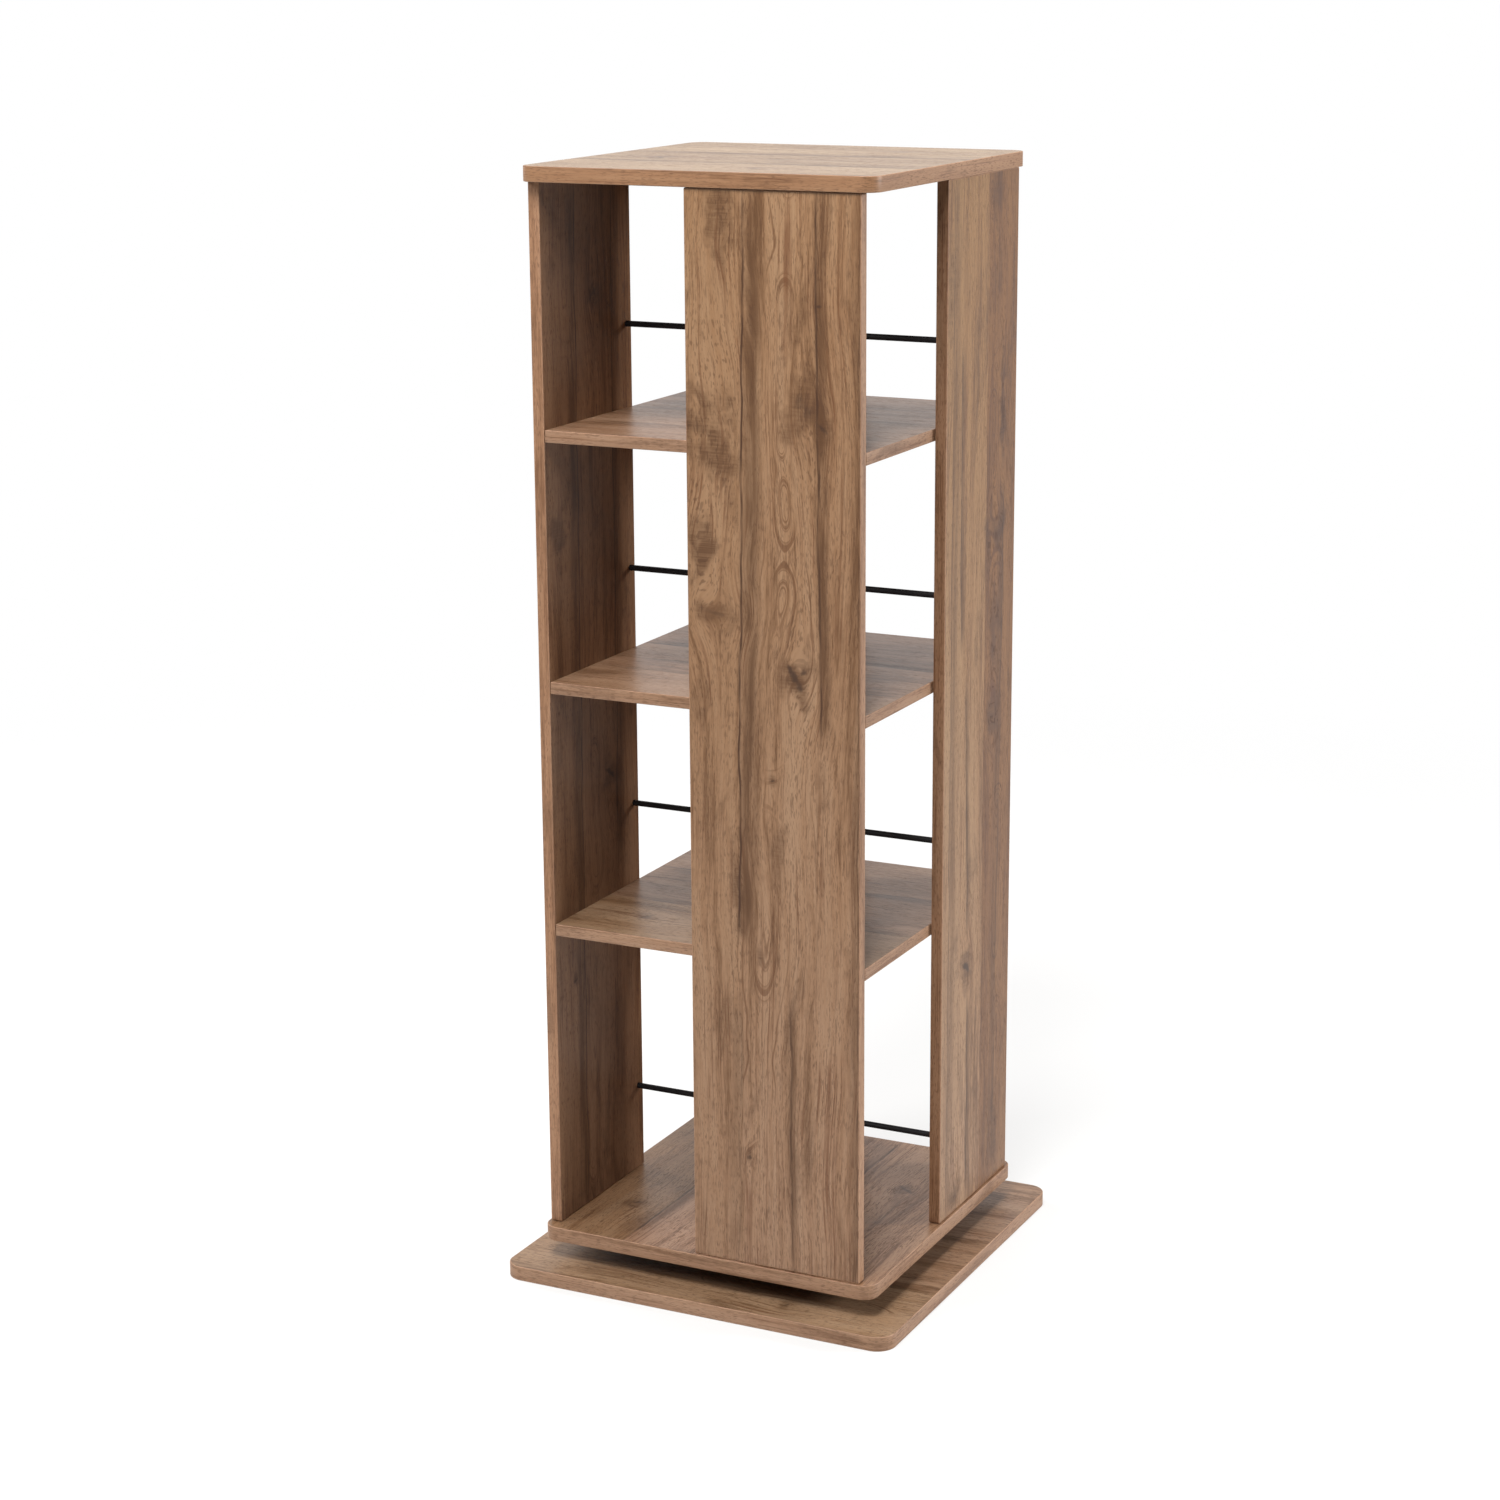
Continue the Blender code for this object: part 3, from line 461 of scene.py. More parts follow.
def edging_print(name, along, across, tint, number):
    """Edging strip: ABS plastic, 1 mm thick, printed to match the faces and scraped round at its two
    arrises. It gives the same brown with the grain along the edge, and a thin paler line at each arris."""
    material, add, where = new_material(name)
    spot = add("ShaderNodeSeparateXYZ", where).outputs
    run_mm = add("MULTIPLY", add("ADD", spot[along[0]], spot[along[1]]), MM)
    place = add("ShaderNodeCombineXYZ", add("MULTIPLY", spot[across], MM), run_mm, number)
    sizes = {"Place": place, "Heart": 60.0, "Strength": 1.2, "Tint": linear(tint)}
    grain = add("ShaderNodeGroup", sizes, node_tree=oak_grain).outputs
    scraped = add("ShaderNodeAttribute", attribute_name="arris").outputs["Fac"]
    paler = {"Factor": add("MULTIPLY_ADD", scraped, 0.40, 0.06), "A": grain["Color"], "B": linear("#b8937a")}
    surface = {
        "Base Color": add("ShaderNodeMix", paler, data_type="RGBA"),
        "Roughness": add("ADD", grain["Roughness"], 0.14),
        "IOR": MELAMINE_IOR,
        "Specular IOR Level": MELAMINE_SHEEN,
    }
    add("ShaderNodeOutputMaterial", add("ShaderNodeBsdfPrincipled", surface))
    return material


def particle_board():
    """Raw particle board, where a hole is drilled: pressed spruce flakes, pale, dry and crumbly."""
    material, add, where = new_material("raw_particle_board")
    flakes = add("ShaderNodeTexVoronoi", {"Vector": where, "Scale": 700.0, "Randomness": 1.0}).outputs
    colour = add("ShaderNodeValToRGB", flakes["Color"])
    set_stops(colour, ((0.0, "#8d6c46"), (1.0, "#c9ab7f")))
    relief = add("ShaderNodeBump", {"Height": flakes["Distance"], "Strength": 0.6, "Distance": 0.4 / MM})
    surface = {"Base Color": colour, "Roughness": 0.9, "Normal": relief}
    add("ShaderNodeOutputMaterial", add("ShaderNodeBsdfPrincipled", surface))
    return material


raw_board = particle_board()
# A board is made lying down. For the axis that its thin side faces: the axes of its width, length and
# thickness, and the turn that stands it up.
QUARTER = math.radians(90.0)
STANDING = {
    "X": ("yzx", Matrix.Rotation(QUARTER, 4, "Z") @ Matrix.Rotation(QUARTER, 4, "X")),
    "Y": ("xzy", Matrix.Rotation(QUARTER, 4, "X")),
    "Z": ("xyz", Matrix.Identity(4)),
}


def make_board(node, body, corner_radius, thin_axis, facing, plastic, bores=()):
    """A faced slab and its edging strip, in the place of a CAD node. bores: sets of holes, drilled one
    after another."""
    low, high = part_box(node)
    axes, stand = STANDING[thin_axis]
    size = getattr(high - low, axes)
    pieces = []
    for kind, tree, inset, own in (
        ("slab", slab_shape, EDGING_THICKNESS + GLUE_LINE, {"Finish": facing}),
        ("edging", edging_shape, EDGING_THICKNESS / 2, {**STRIP_SIZES, "Finish": plastic}),
    ):
        outline = (size.x - 2 * inset, size.y - 2 * inset, size.z, corner_radius - inset)
        piece = make_from(tree, f"{node}_{kind}", {**dict(zip(BOARD_SIZES, outline)), **own})
        piece.data.transform(Matrix.Translation((low + high) / 2) @ stand)
        pieces.append(piece)
    slab, strip = pieces
    strip.data.shade_smooth()
    strip.data.set_sharp_from_angle(angle=ARRIS_ANGLE)
    for holes in bores:
        for piece in pieces:
            drill(piece, holes)
    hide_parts(node)
    for piece in pieces:
        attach(piece, body)


UP = Vector((0.0, 0.0, 1.0))
BIT_LEAD = 0.001
BIT_SIDES = 32
HOLE_EASE = 0.0003
BEARING_SCREW_SHANK = 0.002


def hole(mouth, direction, radius, depth, far_radius=None):
    """A round hole from its mouth inwards, which may narrow to its far end; the bit starts outside."""
    far_radius = radius if far_radius is None else far_radius
    start_radius = radius + (radius - far_radius) / depth * BIT_LEAD
    return Vector(mouth), Vector(direction), start_radius, far_radius, depth


def hole_for(fitting, face, direction, radius, ease=HOLE_EASE):
    """The hole that a fitting sits in, from a board's face to a little past the fitting's tip."""
    low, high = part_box(fitting)
    axis = max(range(3), key=lambda index: abs(direction[index]))
    mouth = (low + high) / 2
    mouth[axis] = face
    tip = high[axis] if direction[axis] > 0 else low[axis]
    return hole(mouth, direction, radius, abs(tip - face) + ease)


def drill(piece, holes):
    """Round holes drilled into a piece, with raw particle board on their walls."""
    bits = bmesh.new()
    for mouth, direction, start_radius, far_radius, depth in holes:
        turn = UP.rotation_difference(direction).to_matrix().to_4x4()
        centre = mouth + direction * (depth - BIT_LEAD) / 2
        bmesh.ops.create_cone(
            bits,
            cap_ends=True,
            segments=BIT_SIDES,
            radius1=start_radius,
            radius2=far_radius,
            depth=depth + BIT_LEAD,
            matrix=Matrix.Translation(centre) @ turn,
        )
    mesh = bpy.data.meshes.new("drill_bits")
    bits.to_mesh(mesh)
    bits.free()
    cutter = new_object("drill_bits", mesh)
    if raw_board.name not in piece.data.materials:
        piece.data.materials.append(raw_board)
    for polygon in mesh.polygons:
        polygon.material_index = piece.data.materials.find(raw_board.name)
    cut = piece.modifiers.new("drill", "BOOLEAN")
    cut.operation = "DIFFERENCE"
    cut.object = cutter
    carry_out(piece)
    bpy.data.objects.remove(cutter)


def bearing_pilots(level, face, direction):
    """Pilot holes for the four screws that hold one bearing plate, from a board's face inwards."""
    screws = [f"bearing_{level}_screw_{number}" for number in range(1, 5)]
    return [hole_for(screw, face, direction, BEARING_SCREW_SHANK + HOLE_EASE) for screw in screws]


flat_edging = edging_print("oak_edging_flat_boards", ("X", "Y"), "Z", "#f5f8fb", 40.0)
base_facing = oak_print(
    "oak_base_plate",
    across="Y",
    along="X",
    start=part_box("base_plate")[0].y,
    heart=(60.0, 40.0),
    seams=((118, 122, 215, -215, 0.8, 6), (262, 258, 215, -215, 0.7, -6)),
    knots=((30, 90, 14, 9, 20, 0.6, 0.6), (330, -60, 18, 10, -30, 0.8, 0.8)),
    tints=((0.0, "#f4ffff"), (120, "#f4fbff"), (260, "#eef6ff"), (340, "#f3faff")),
    strength=1.4,
    number=11.0,
)
base_pilots = bearing_pilots("lower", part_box("base_plate")[1].z, -UP)
make_board("base_plate", "base", BASE_CORNER_RADIUS, "Z", base_facing, flat_edging, [base_pilots])

# Bearing. Two square plates pressed from 2 mm steel sheet and zinc plated, a ring of twelve hardened balls
# between them, one rivet through their middle, and four pan-head screws into the board on each side.
METAL = {"Metallic": 1.0}


def grained_finish(name, cell, colours, gloss, relief, span=(0.3, 0.7), detail=3.0, unevenness=0.6,
                   sockets=METAL):
    """A finish whose colour, gloss and relief follow one fine noise of this detail and unevenness.
    cell: the size of its grain in mm, along X, Y and Z
    span: the values of the noise that have the first and the last colour
    gloss: the roughness at these two, or one for all
    relief: its strength, and its height in mm
    sockets: other values of the shader's own sockets"""
    material, add, where = new_material(name)
    cells = add("ShaderNodeVectorMath", where, tuple(MM / side for side in cell), operation="MULTIPLY")
    noise_sizes = {"Vector": cells, "Scale": 1.0, "Detail": detail, "Roughness": unevenness}
    grain = add("ShaderNodeTexNoise", noise_sizes)
    colour = add("ShaderNodeValToRGB", grain)
    set_stops(colour, zip(span, colours))
    strength, height = relief
    surface = {
        "Base Color": colour,
        "Roughness": gloss if isinstance(gloss, float) else add("ShaderNodeMapRange", grain, *span, *gloss),
        "Normal": add("ShaderNodeBump", {"Height": grain, "Strength": strength, "Distance": height / MM}),
        **sockets,
    }
    add("ShaderNodeOutputMaterial", add("ShaderNodeBsdfPrincipled", surface))
    return material


def finish_nodes(nodes, material):
    """CAD nodes whose shapes stay get a finer material."""
    for node in nodes:
        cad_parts[node].material_slots[0].material = material


# Zinc plating, blue passivated: a cool pale grey with a satin gloss and faint cloudy spangle.
zinc_plated = grained_finish(
    "zinc_plated_steel_blue",
    cell=(2.5, 2.5, 2.5),
    colours=("#a5a9ae", "#cfd1d3"),
    gloss=(0.26, 0.44),
    relief=(0.3, 0.05),
)
# Ball-bearing steel, ground and lapped, with a film of grease: darker, and nearly a mirror.
ball_steel = grained_finish(
    "lapped_bearing_steel",
    cell=(1.2, 1.2, 1.2),
    colours=("#7f8083", "#a4a5a7"),
    gloss=(0.12, 0.24),
    relief=(0.3, 0.01),
)
bearing_screws = [f"bearing_{level}_screw_{number}" for level in ("lower", "upper") for number in range(1, 5)]
finish_nodes(["bearing_lower_plate", "bearing_upper_plate", "pivot_rivet", *bearing_screws], zinc_plated)
finish_nodes(["ball_cage"], ball_steel)

# Bottom board. The lowest board of the turning part: the same 15 mm board, 30 mm smaller all round than
# the base plate, with its grain front to back.
SIDES = ("front", "right", "back", "left")
CARCASS_CORNER_RADIUS = 0.016
PANEL_SCREW_SHANK = 0.0025
PANEL_SCREW_HEAD = 0.0048
PANEL_SCREW_HEAD_HEIGHT = 0.003
bottom_low, bottom_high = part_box("bottom_board")
screw_holes = bearing_pilots("upper", bottom_low.z, UP)
countersinks = []
for side in SIDES:
    middle = sum(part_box(f"bottom_screw_{side}"), Vector()) / 2
    mouth = (middle.x, middle.y, bottom_low.z)
    shank_radius = PANEL_SCREW_SHANK + HOLE_EASE
    sink_radius = PANEL_SCREW_HEAD + 2 * HOLE_EASE
    sink_depth = PANEL_SCREW_HEAD_HEIGHT + 2 * HOLE_EASE
    screw_holes.append(hole(mouth, UP, shank_radius, bottom_high.z - bottom_low.z + BIT_LEAD))
    countersinks.append(hole(mouth, UP, sink_radius, sink_depth, shank_radius))

bottom_facing = oak_print(
    "oak_bottom_board",
    across="X",
    along="Y",
    start=bottom_low.x,
    heart=(200.0, 150.0),
    seams=((92, 95, 185, -185, 0.8, 6), (240, 246, 185, -185, 0.8, -7)),
    knots=((60, -90, 16, 10, 25, 0.5, 0.5), (300, 60, 20, 12, -35, 0.7, 0.7)),
    tints=((0.0, "#d7d8d0"), (94, "#f5f8ff"), (243, "#fcfeff")),
    strength=1.4,
    number=23.0,
)
bottom_bores = [screw_holes, countersinks]
make_board("bottom_board", "carcass", CARCASS_CORNER_RADIUS, "Z", bottom_facing, flat_edging, bottom_bores)
finish_nodes([f"bottom_screw_{side}" for side in SIDES], zinc_plated)

# Four upright panels. 12 mm oak-print board, 180 mm wide, standing in a pinwheel round the shelves with
# the grain upright; each is screwed from below and dowelled into the top board.
TIER_CORNER_RADIUS = 0.0016
ROD_MOUTH_CLEARANCE = 0.00025
BOLT_THREAD_RADIUS = 0.0025
OUTWARD = {
    "front": Vector((0.0, -1.0, 0.0)),
    "right": Vector((1.0, 0.0, 0.0)),
    "back": Vector((0.0, 1.0, 0.0)),
    "left": Vector((-1.0, 0.0, 0.0)),
}
SHELF_NUMBERS = (1, 2, 3)
BOOK_RODS = [f"book_rod_{number}" for number in range(1, 5)]


def round_radius(fitting, axis=0):
    """The radius of a round fitting, across one of its axes."""
    low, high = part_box(fitting)
    return (high - low)[axis] / 2


def panel_holes(side):
    """One panel's holes: in its inner face for the cam bolts and for the ends of the rods, in its lower
    end for the screw, and in its upper end for the dowel."""
    outward = OUTWARD[side]
    low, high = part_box(f"{side}_panel")
    inner = min((corner[0 if outward.x else 1] for corner in (low, high)), key=abs)
    screw, dowel = f"bottom_screw_{side}", f"top_dowel_{side}"
    holes = [
        hole_for(f"cam_bolt_{side}_{number}", inner, outward, BOLT_THREAD_RADIUS + HOLE_EASE)
        for number in SHELF_NUMBERS
    ]
    if outward.x:
        for rod in BOOK_RODS:
            holes.append(hole_for(rod, inner, outward, round_radius(rod, 2) + ROD_MOUTH_CLEARANCE))
    holes.append(hole_for(screw, low.z, UP, PANEL_SCREW_SHANK + HOLE_EASE))
    holes.append(hole_for(dowel, high.z, -UP, round_radius(dowel) + HOLE_EASE))
    return holes


# The colours at the foot and the top of each panel are painted light and sheen, not a change in the print.
PANEL_PRINTS = {
    "front": {
        "heart": (64.0, 96.0),
        "seams": (
            (61, 52, 1106, 390, 1.0, 10), (54, 50, 330, 52, 0.4, -5), (134, 139, 1106, 590, 0.95, 4),
            (107, 108, 335, 52, 0.75, 2), (179, 178, 1106, 52, 0.6, -4),
        ),
        "knots": (
            (40, 1076, 19, 28, 0, 0.9, 0.0), (124, 908, 28, 26, -52, 0.8, 0.5),
            (140, 892, 15, 12, -40, 1.0, 1.0), (6, 886, 36, 26, -20, 1.0, 0.2),
            (38, 860, 24, 22, -45, 0.9, 0.0), (16, 768, 19, 22, 0, 1.0, 0.0),
            (34, 708, 32, 9, -12, 0.7, 0.3), (112, 655, 24, 18, -60, 1.0, 0.95),
            (121, 659, 15, 12, 35, 0.7, 0.9), (89, 551, 5, 6, 20, 0.8, 1.0),
            (62, 164, 6, 10, 10, 0.8, 0.8), (68, 1000, 10, 60, 0, 0.55, 0.0),
            (52, 430, 9, 40, 0, 0.75, 0.0), (137, 1003, 5, 7, 0, 0.7, 0.8), (75, 372, 5, 7, 0, 0.6, 0.5),
        ),
        "tints": ((0.0, "#faf8f4"), (54, "#ffffff"), (134, "#fcfaf8")),
        "painted_light_drift": ("#f6fbff", "#fbfcf0"),
        "number": 3.0,
    },
    "right": {
        "heart": (150.0, 120.0),
        "seams": (
            (39, 42, 945, 640, 0.85, 3), (56, 66, 610, 340, 0.85, 2), (67, 69, 275, 52, 0.85, 2),
            (18, 16, 1106, 52, 0.6, 7), (150, 140, 800, 60, 0.7, -6),
        ),
        "knots": (
            (65, 308, 24, 16, -35, 0.9, 1.0), (124, 1080, 22, 24, 0, 0.7, 0.0),
            (145, 880, 9, 52, 0, 1.0, 0.0), (132, 752, 32, 12, 0, 0.8, 0.0),
            (112, 738, 11, 16, 0, 0.85, 0.0), (128, 655, 20, 26, 0, 0.75, 0.0),
            (125, 560, 28, 20, 0, 0.8, 0.2), (145, 95, 10, 42, 0, 0.9, 0.0),
            (38, 68, 14, 16, 30, 0.9, 0.4), (10, 1010, 8, 50, 0, 0.6, 0.0),
        ),
        "tints": ((0.0, "#ffffff"), (42, "#fffdfa"), (103, "#d6c2a8")),
        "painted_light_drift": ("#f8ffff", "#f5eec4"),
        "sheen": 0.25,
        "number": 8.0,
    },
    "back": {
        "heart": (120.0, 70.0),
        "seams": ((52, 60, 1106, 52, 0.9, 9), (122, 118, 1106, 52, 0.8, -6)),
        "knots": (
            (30, 930, 18, 14, -40, 0.8, 0.8), (90, 640, 22, 16, 35, 0.8, 0.9),
            (150, 420, 16, 14, -25, 0.8, 0.7), (20, 500, 20, 30, 0, 0.8, 0.0),
            (84, 240, 6, 6, 10, 0.8, 0.9),
        ),
        "tints": ((0.0, "#efe9e5"), (56, "#fffaf4"), (120, "#f7f0ea")),
        "painted_light_drift": ("#f8fbff", "#fffaee"),
        "number": 15.0,
    },
    "left": {
        "heart": (70.0, 110.0),
        "seams": ((66, 58, 1106, 52, 0.9, -8), (140, 134, 1106, 400, 0.8, 7)),
        "knots": (
            (100, 990, 20, 14, 40, 0.8, 0.8), (24, 760, 18, 22, 0, 0.8, 0.0),
            (120, 500, 22, 15, -35, 0.8, 0.9), (40, 300, 6, 7, 10, 0.8, 0.9),
        ),
        # Painted shade: the left panel's staves are tinted darker overall than the other panels', for the
        # shade on its inner face between the shelves, and its outer face takes the same tints; the small
        # differences between its staves are the print's.
        "tints": ((0.0, "#ebe5de"), (62, "#e6dfd8"), (137, "#f2eae2")),
        "painted_light_drift": ("#f8fbff", "#fffaee"),
        "number": 21.0,
    },
}
upright_edging = {
    "X": edging_print("oak_edging_panels_facing_side", ("Y", "Z"), "X", "#fffaf4", 52.0),
    "Y": edging_print("oak_edging_panels_facing_front", ("X", "Z"), "Y", "#fffefb", 57.0),
}
for side, marks in PANEL_PRINTS.items():
    panel = f"{side}_panel"
    thin_axis, across = ("X", "Y") if OUTWARD[side].x else ("Y", "X")
    start = getattr(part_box(panel)[0], across.lower())
    facing = oak_print(f"oak_{panel}", across=across, along="Z", start=start, **marks)
    bores = [panel_holes(side)]
    make_board(panel, "carcass", TIER_CORNER_RADIUS, thin_axis, facing, upright_edging[thin_axis], bores)

# Three shelves. 12 mm oak-print board, 340 mm square, edged on all four sides; each hangs on a cam
# fitting at every panel, and its underside has the four pockets that the cams drop into.
CAM_CLEARANCE = 0.0002
BOLT_BORE_RADIUS = 0.0035


def shelf_holes(number):
    """Pockets for the cams in the underside of one shelf, and bores for the bolts in its edges."""
    pockets = []
    bores = []
    low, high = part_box(f"shelf_{number}")
    for side, outward in OUTWARD.items():
        cam = f"cam_nut_{side}_{number}"
        pockets.append(hole_for(cam, low.z, UP, round_radius(cam) + CAM_CLEARANCE, CAM_CLEARANCE))
        bolt = sum(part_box(f"cam_bolt_{side}_{number}"), Vector()) / 2
        mouth = bolt + outward * (high.x - outward.dot(bolt))
        to_cam = high.x - outward.dot(sum(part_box(cam), Vector()) / 2)
        bores.append(hole(mouth, -outward, BOLT_BORE_RADIUS, to_cam))
    return [pockets, bores]


SHELF_PRINTS = {
    1: {
        "heart": (130.0, 90.0),
        "seams": ((110, 116, 170, -170, 0.8, 7), (232, 228, 170, -170, 0.8, -6)),
        "knots": ((60, -100, 16, 10, 30, 0.7, 0.8), (180, 70, 20, 12, -40, 0.8, 0.8)),
        "tints": ((0.0, "#e4edec"), (113, "#e9eef4"), (230, "#f4f9ff")),
        "number": 27.0,
    },
    2: {
        "heart": (60.0, 80.0),
        "seams": ((84, 88, 170, -170, 0.7, 6), (196, 198, 170, -170, 1.0, 8)),
        "knots": ((40, 60, 18, 11, 25, 0.7, 0.7), (270, -40, 22, 13, -30, 0.8, 0.8)),
        "tints": ((0.0, "#f6fbff"), (86, "#f3f6fa"), (197, "#d5d4d8")),
        "number": 31.0,
    },
    3: {
        "heart": (210.0, 160.0),
        "seams": ((70, 66, 170, -170, 0.8, 7), (180, 186, 170, -170, 0.8, -8)),
        "knots": ((120, 30, 18, 11, 35, 0.8, 0.8), (300, -80, 16, 10, -25, 0.7, 0.7)),
        "tints": ((0.0, "#f2f3f6"), (68, "#f8fbff"), (183, "#eaebf0")),
        "number": 36.0,
    },
}
for number in SHELF_NUMBERS:
    shelf = f"shelf_{number}"
    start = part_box(shelf)[0].y
    facing = oak_print(f"oak_{shelf}", across="Y", along="X", start=start, **SHELF_PRINTS[number])
    make_board(shelf, "carcass", TIER_CORNER_RADIUS, "Z", facing, flat_edging, shelf_holes(number))

# Cam fittings. Each shelf hangs on four: a bolt of zinc-plated steel in the panel's inner face, and a
# nut cast in zinc that drops into the pocket in the shelf and is turned a half turn to draw them tight.
BAR_SIZES = {"Float": ["Radius", "Length", "Ease"], "Int": ["Sides"]}
BAR_ANGLE = math.radians(30.0)
CAM_EASE = 0.0006
CAM_SIDES = 32
CAM_SLOT = Vector((0.0085, 0.0014, 0.0036))
ARROW_SIZE = Vector((0.0022, 0.0008, 0.0008))
ARROW_OUT = 0.0046
BOLT_HEAD_ROOM = 0.0033
BORE_MIDDLE = (0.0016, 0.0, 0.00125)
BORE_LENGTH = 0.0108
BORE_SIDES = 24
LYING_ALONG_X = (0.0, QUARTER, 0.0)


def eased_rod_tree():
    """A round bar along Z with eased rims: a tube and two low cones, closed and joined into one."""
    tree, add, given = new_tree("eased round bar", "GeometryNodeTree", BAR_SIZES)
    straight = add("SUBTRACT", given["Length"], add("MULTIPLY", given["Ease"], 2.0))
    tube_sizes = {"Vertices": given["Sides"], "Radius": given["Radius"], "Depth": straight}
    tube = add("GeometryNodeMeshCylinder", tube_sizes, fill_type="NONE")
    rim_sizes = {
        "Vertices": given["Sides"],
        "Radius Top": add("SUBTRACT", given["Radius"], given["Ease"]),
        "Radius Bottom": given["Radius"],
        "Depth": given["Ease"],
    }
    rim = add("GeometryNodeMeshCone", rim_sizes, fill_type="NGON").outputs
    opened = add("GeometryNodeDeleteGeometry", rim["Mesh"], rim["Bottom"], domain="FACE", mode="ONLY_FACE")
    rise = add("ShaderNodeCombineXYZ", {"Z": add("MULTIPLY", straight, 0.5)})
    upper = add("GeometryNodeTransform", {"Geometry": opened, "Translation": rise})
    lower = add("GeometryNodeTransform", {"Geometry": upper, "Rotation": (math.pi, 0.0, 0.0)})
    joined = add("GeometryNodeJoinGeometry", [tube, upper, lower])
    welding = {"Geometry": joined, "Distance": WELD_DISTANCE}
    add("NodeGroupOutput", add("GeometryNodeMergeByDistance", welding))
    return tree


eased_rod = eased_rod_tree()


def repeated_tree(name, slotted):
    """The eased bar on every point of the carrier, turned by the point's own attribute, turn. A slotted
    one has a straight slot and a short mark in its lower face, as a cam nut has, and a bore in its side
    that takes the bolt's head."""
    inputs = {"Geometry": ["Geometry"], **BAR_SIZES, "Material": ["Finish"]}
    tree, add, given = new_tree(name, "GeometryNodeTree", inputs)
    sizes = {socket: given[socket] for names in BAR_SIZES.values() for socket in names}
    shape = add("GeometryNodeGroup", sizes, node_tree=eased_rod)
    if slotted:
        down = add("MULTIPLY", given["Length"], -0.5)
        cutters = []
        for size, out in ((CAM_SLOT, 0.0), (ARROW_SIZE, ARROW_OUT)):
            block = add("GeometryNodeMeshCube", {"Size": size})
            at_face = add("ShaderNodeCombineXYZ", {"X": out, "Z": down})
            cutters.append(add("GeometryNodeTransform", {"Geometry": block, "Translation": at_face}))
        bore_sizes = {"Vertices": BORE_SIDES, "Radius": BOLT_HEAD_ROOM, "Depth": BORE_LENGTH}
        bore = add("GeometryNodeMeshCylinder", bore_sizes)
        lying = {"Geometry": bore, "Translation": BORE_MIDDLE, "Rotation": LYING_ALONG_X}
        cutters.append(add("GeometryNodeTransform", lying))
        for cutter in cutters:
            shape = add("GeometryNodeMeshBoolean", shape, cutter, operation="DIFFERENCE")
    turn = add("GeometryNodeInputNamedAttribute", {"Name": "turn"}, data_type="FLOAT_VECTOR")
    spread = {"Points": given["Geometry"], "Instance": shape, "Rotation": turn}
    end_shape(add, given, add("GeometryNodeInstanceOnPoints", spread))
    return tree


plain_bars = repeated_tree("plain round bars", False)
slotted_cams = repeated_tree("slotted cam nuts", True)


def make_repeated(tree, name, nodes, long_axis, turns, ease, sides, finish):
    """One mesh of round bars, in the place of like CAD nodes; the first gives the size of all."""
    low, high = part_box(nodes[0])
    sizes = {
        "Radius": round_radius(nodes[0], (long_axis + 1) % 3),
        "Length": (high - low)[long_axis],
        "Ease": ease,
        "Sides": sides,
        "Finish": finish,
    }
    points = [sum(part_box(node), Vector()) / 2 for node in nodes]
    bars = make_from(tree, name, sizes, points, turns)
    bars.data.shade_smooth()
    bars.data.set_sharp_from_angle(angle=BAR_ANGLE)
    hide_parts(*nodes)
    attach(bars, "carcass")


# Zinc die casting, left as cast and tumbled: a dull mid grey with a fine sandy grain.
cast_zinc = grained_finish(
    "tumbled_cast_zinc",
    cell=(0.6, 0.6, 0.6),
    colours=("#85888b", "#a8aaac"),
    gloss=(0.42, 0.60),
    relief=(0.3, 0.04),
)
cam_places = [(side, number) for side in SIDES for number in SHELF_NUMBERS]
cam_nuts = [f"cam_nut_{side}_{number}" for side, number in cam_places]
cam_turns = [(0.0, 0.0, math.atan2(OUTWARD[side].y, OUTWARD[side].x)) for side, number in cam_places]
make_repeated(slotted_cams, "cam_nuts", cam_nuts, 2, cam_turns, CAM_EASE, CAM_SIDES, cast_zinc)
finish_nodes([f"cam_bolt_{side}_{number}" for side, number in cam_places], zinc_plated)

# Book rods. Four thin steel rods, one across the middle of each tier, cut to length, eased at the ends
# and powder coated black; each end sits in a blind hole in a panel.
ROD_SIDES = 32
ROD_EASE = 0.0005

# Black polyester powder, baked on: a satin near-black with a very fine orange peel, here 0.8 mm wide so
# that it shows.
black_powder_coat = grained_finish(
    "black_powder_coated_steel",
    cell=(0.8, 0.8, 0.8),
    detail=2.0,
    unevenness=0.5,
    span=(0.0, 1.0),
    colours=("#100f11", "#1e1c20"),
    gloss=(0.50, 0.66),
    relief=(0.25, 0.1),
    sockets={"Specular IOR Level": 0.35},
)
turns = [LYING_ALONG_X] * len(BOOK_RODS)
make_repeated(plain_bars, "book_rods", BOOK_RODS, 0, turns, ROD_EASE, ROD_SIDES, black_powder_coat)

# Top board. 15 mm oak-print board with rounded corners, dowelled on to the panels' upper ends, with its
# grain from side to side.
top_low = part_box("top_board")[0]
top_dowels = [f"top_dowel_{side}" for side in SIDES]
dowel_sockets = [hole_for(dowel, top_low.z, UP, round_radius(dowel) + HOLE_EASE) for dowel in top_dowels]
top_facing = oak_print(
    "oak_top_board",
    across="Y",
    along="X",
    start=top_low.y,
    heart=(150.0, 110.0),
    seams=((98, 104, 185, -185, 0.6, 7), (236, 230, 185, -185, 0.6, -8)),
    knots=(
        (50, 40, 18, 11, 30, 0.6, 0.5), (150, -110, 22, 12, -35, 0.6, 0.5), (300, 80, 16, 10, 20, 0.5, 0.4)
    ),
    tints=((0.0, "#f0fffc"), (101, "#e8f5f1"), (233, "#f0fffa")),
    strength=1.5,
    number=44.0,
)
top_edging = edging_print("oak_edging_top_board", ("X", "Y"), "Z", "#f2eada", 61.0)
make_board("top_board", "carcass", CARCASS_CORNER_RADIUS, "Z", top_facing, top_edging, [dowel_sockets])

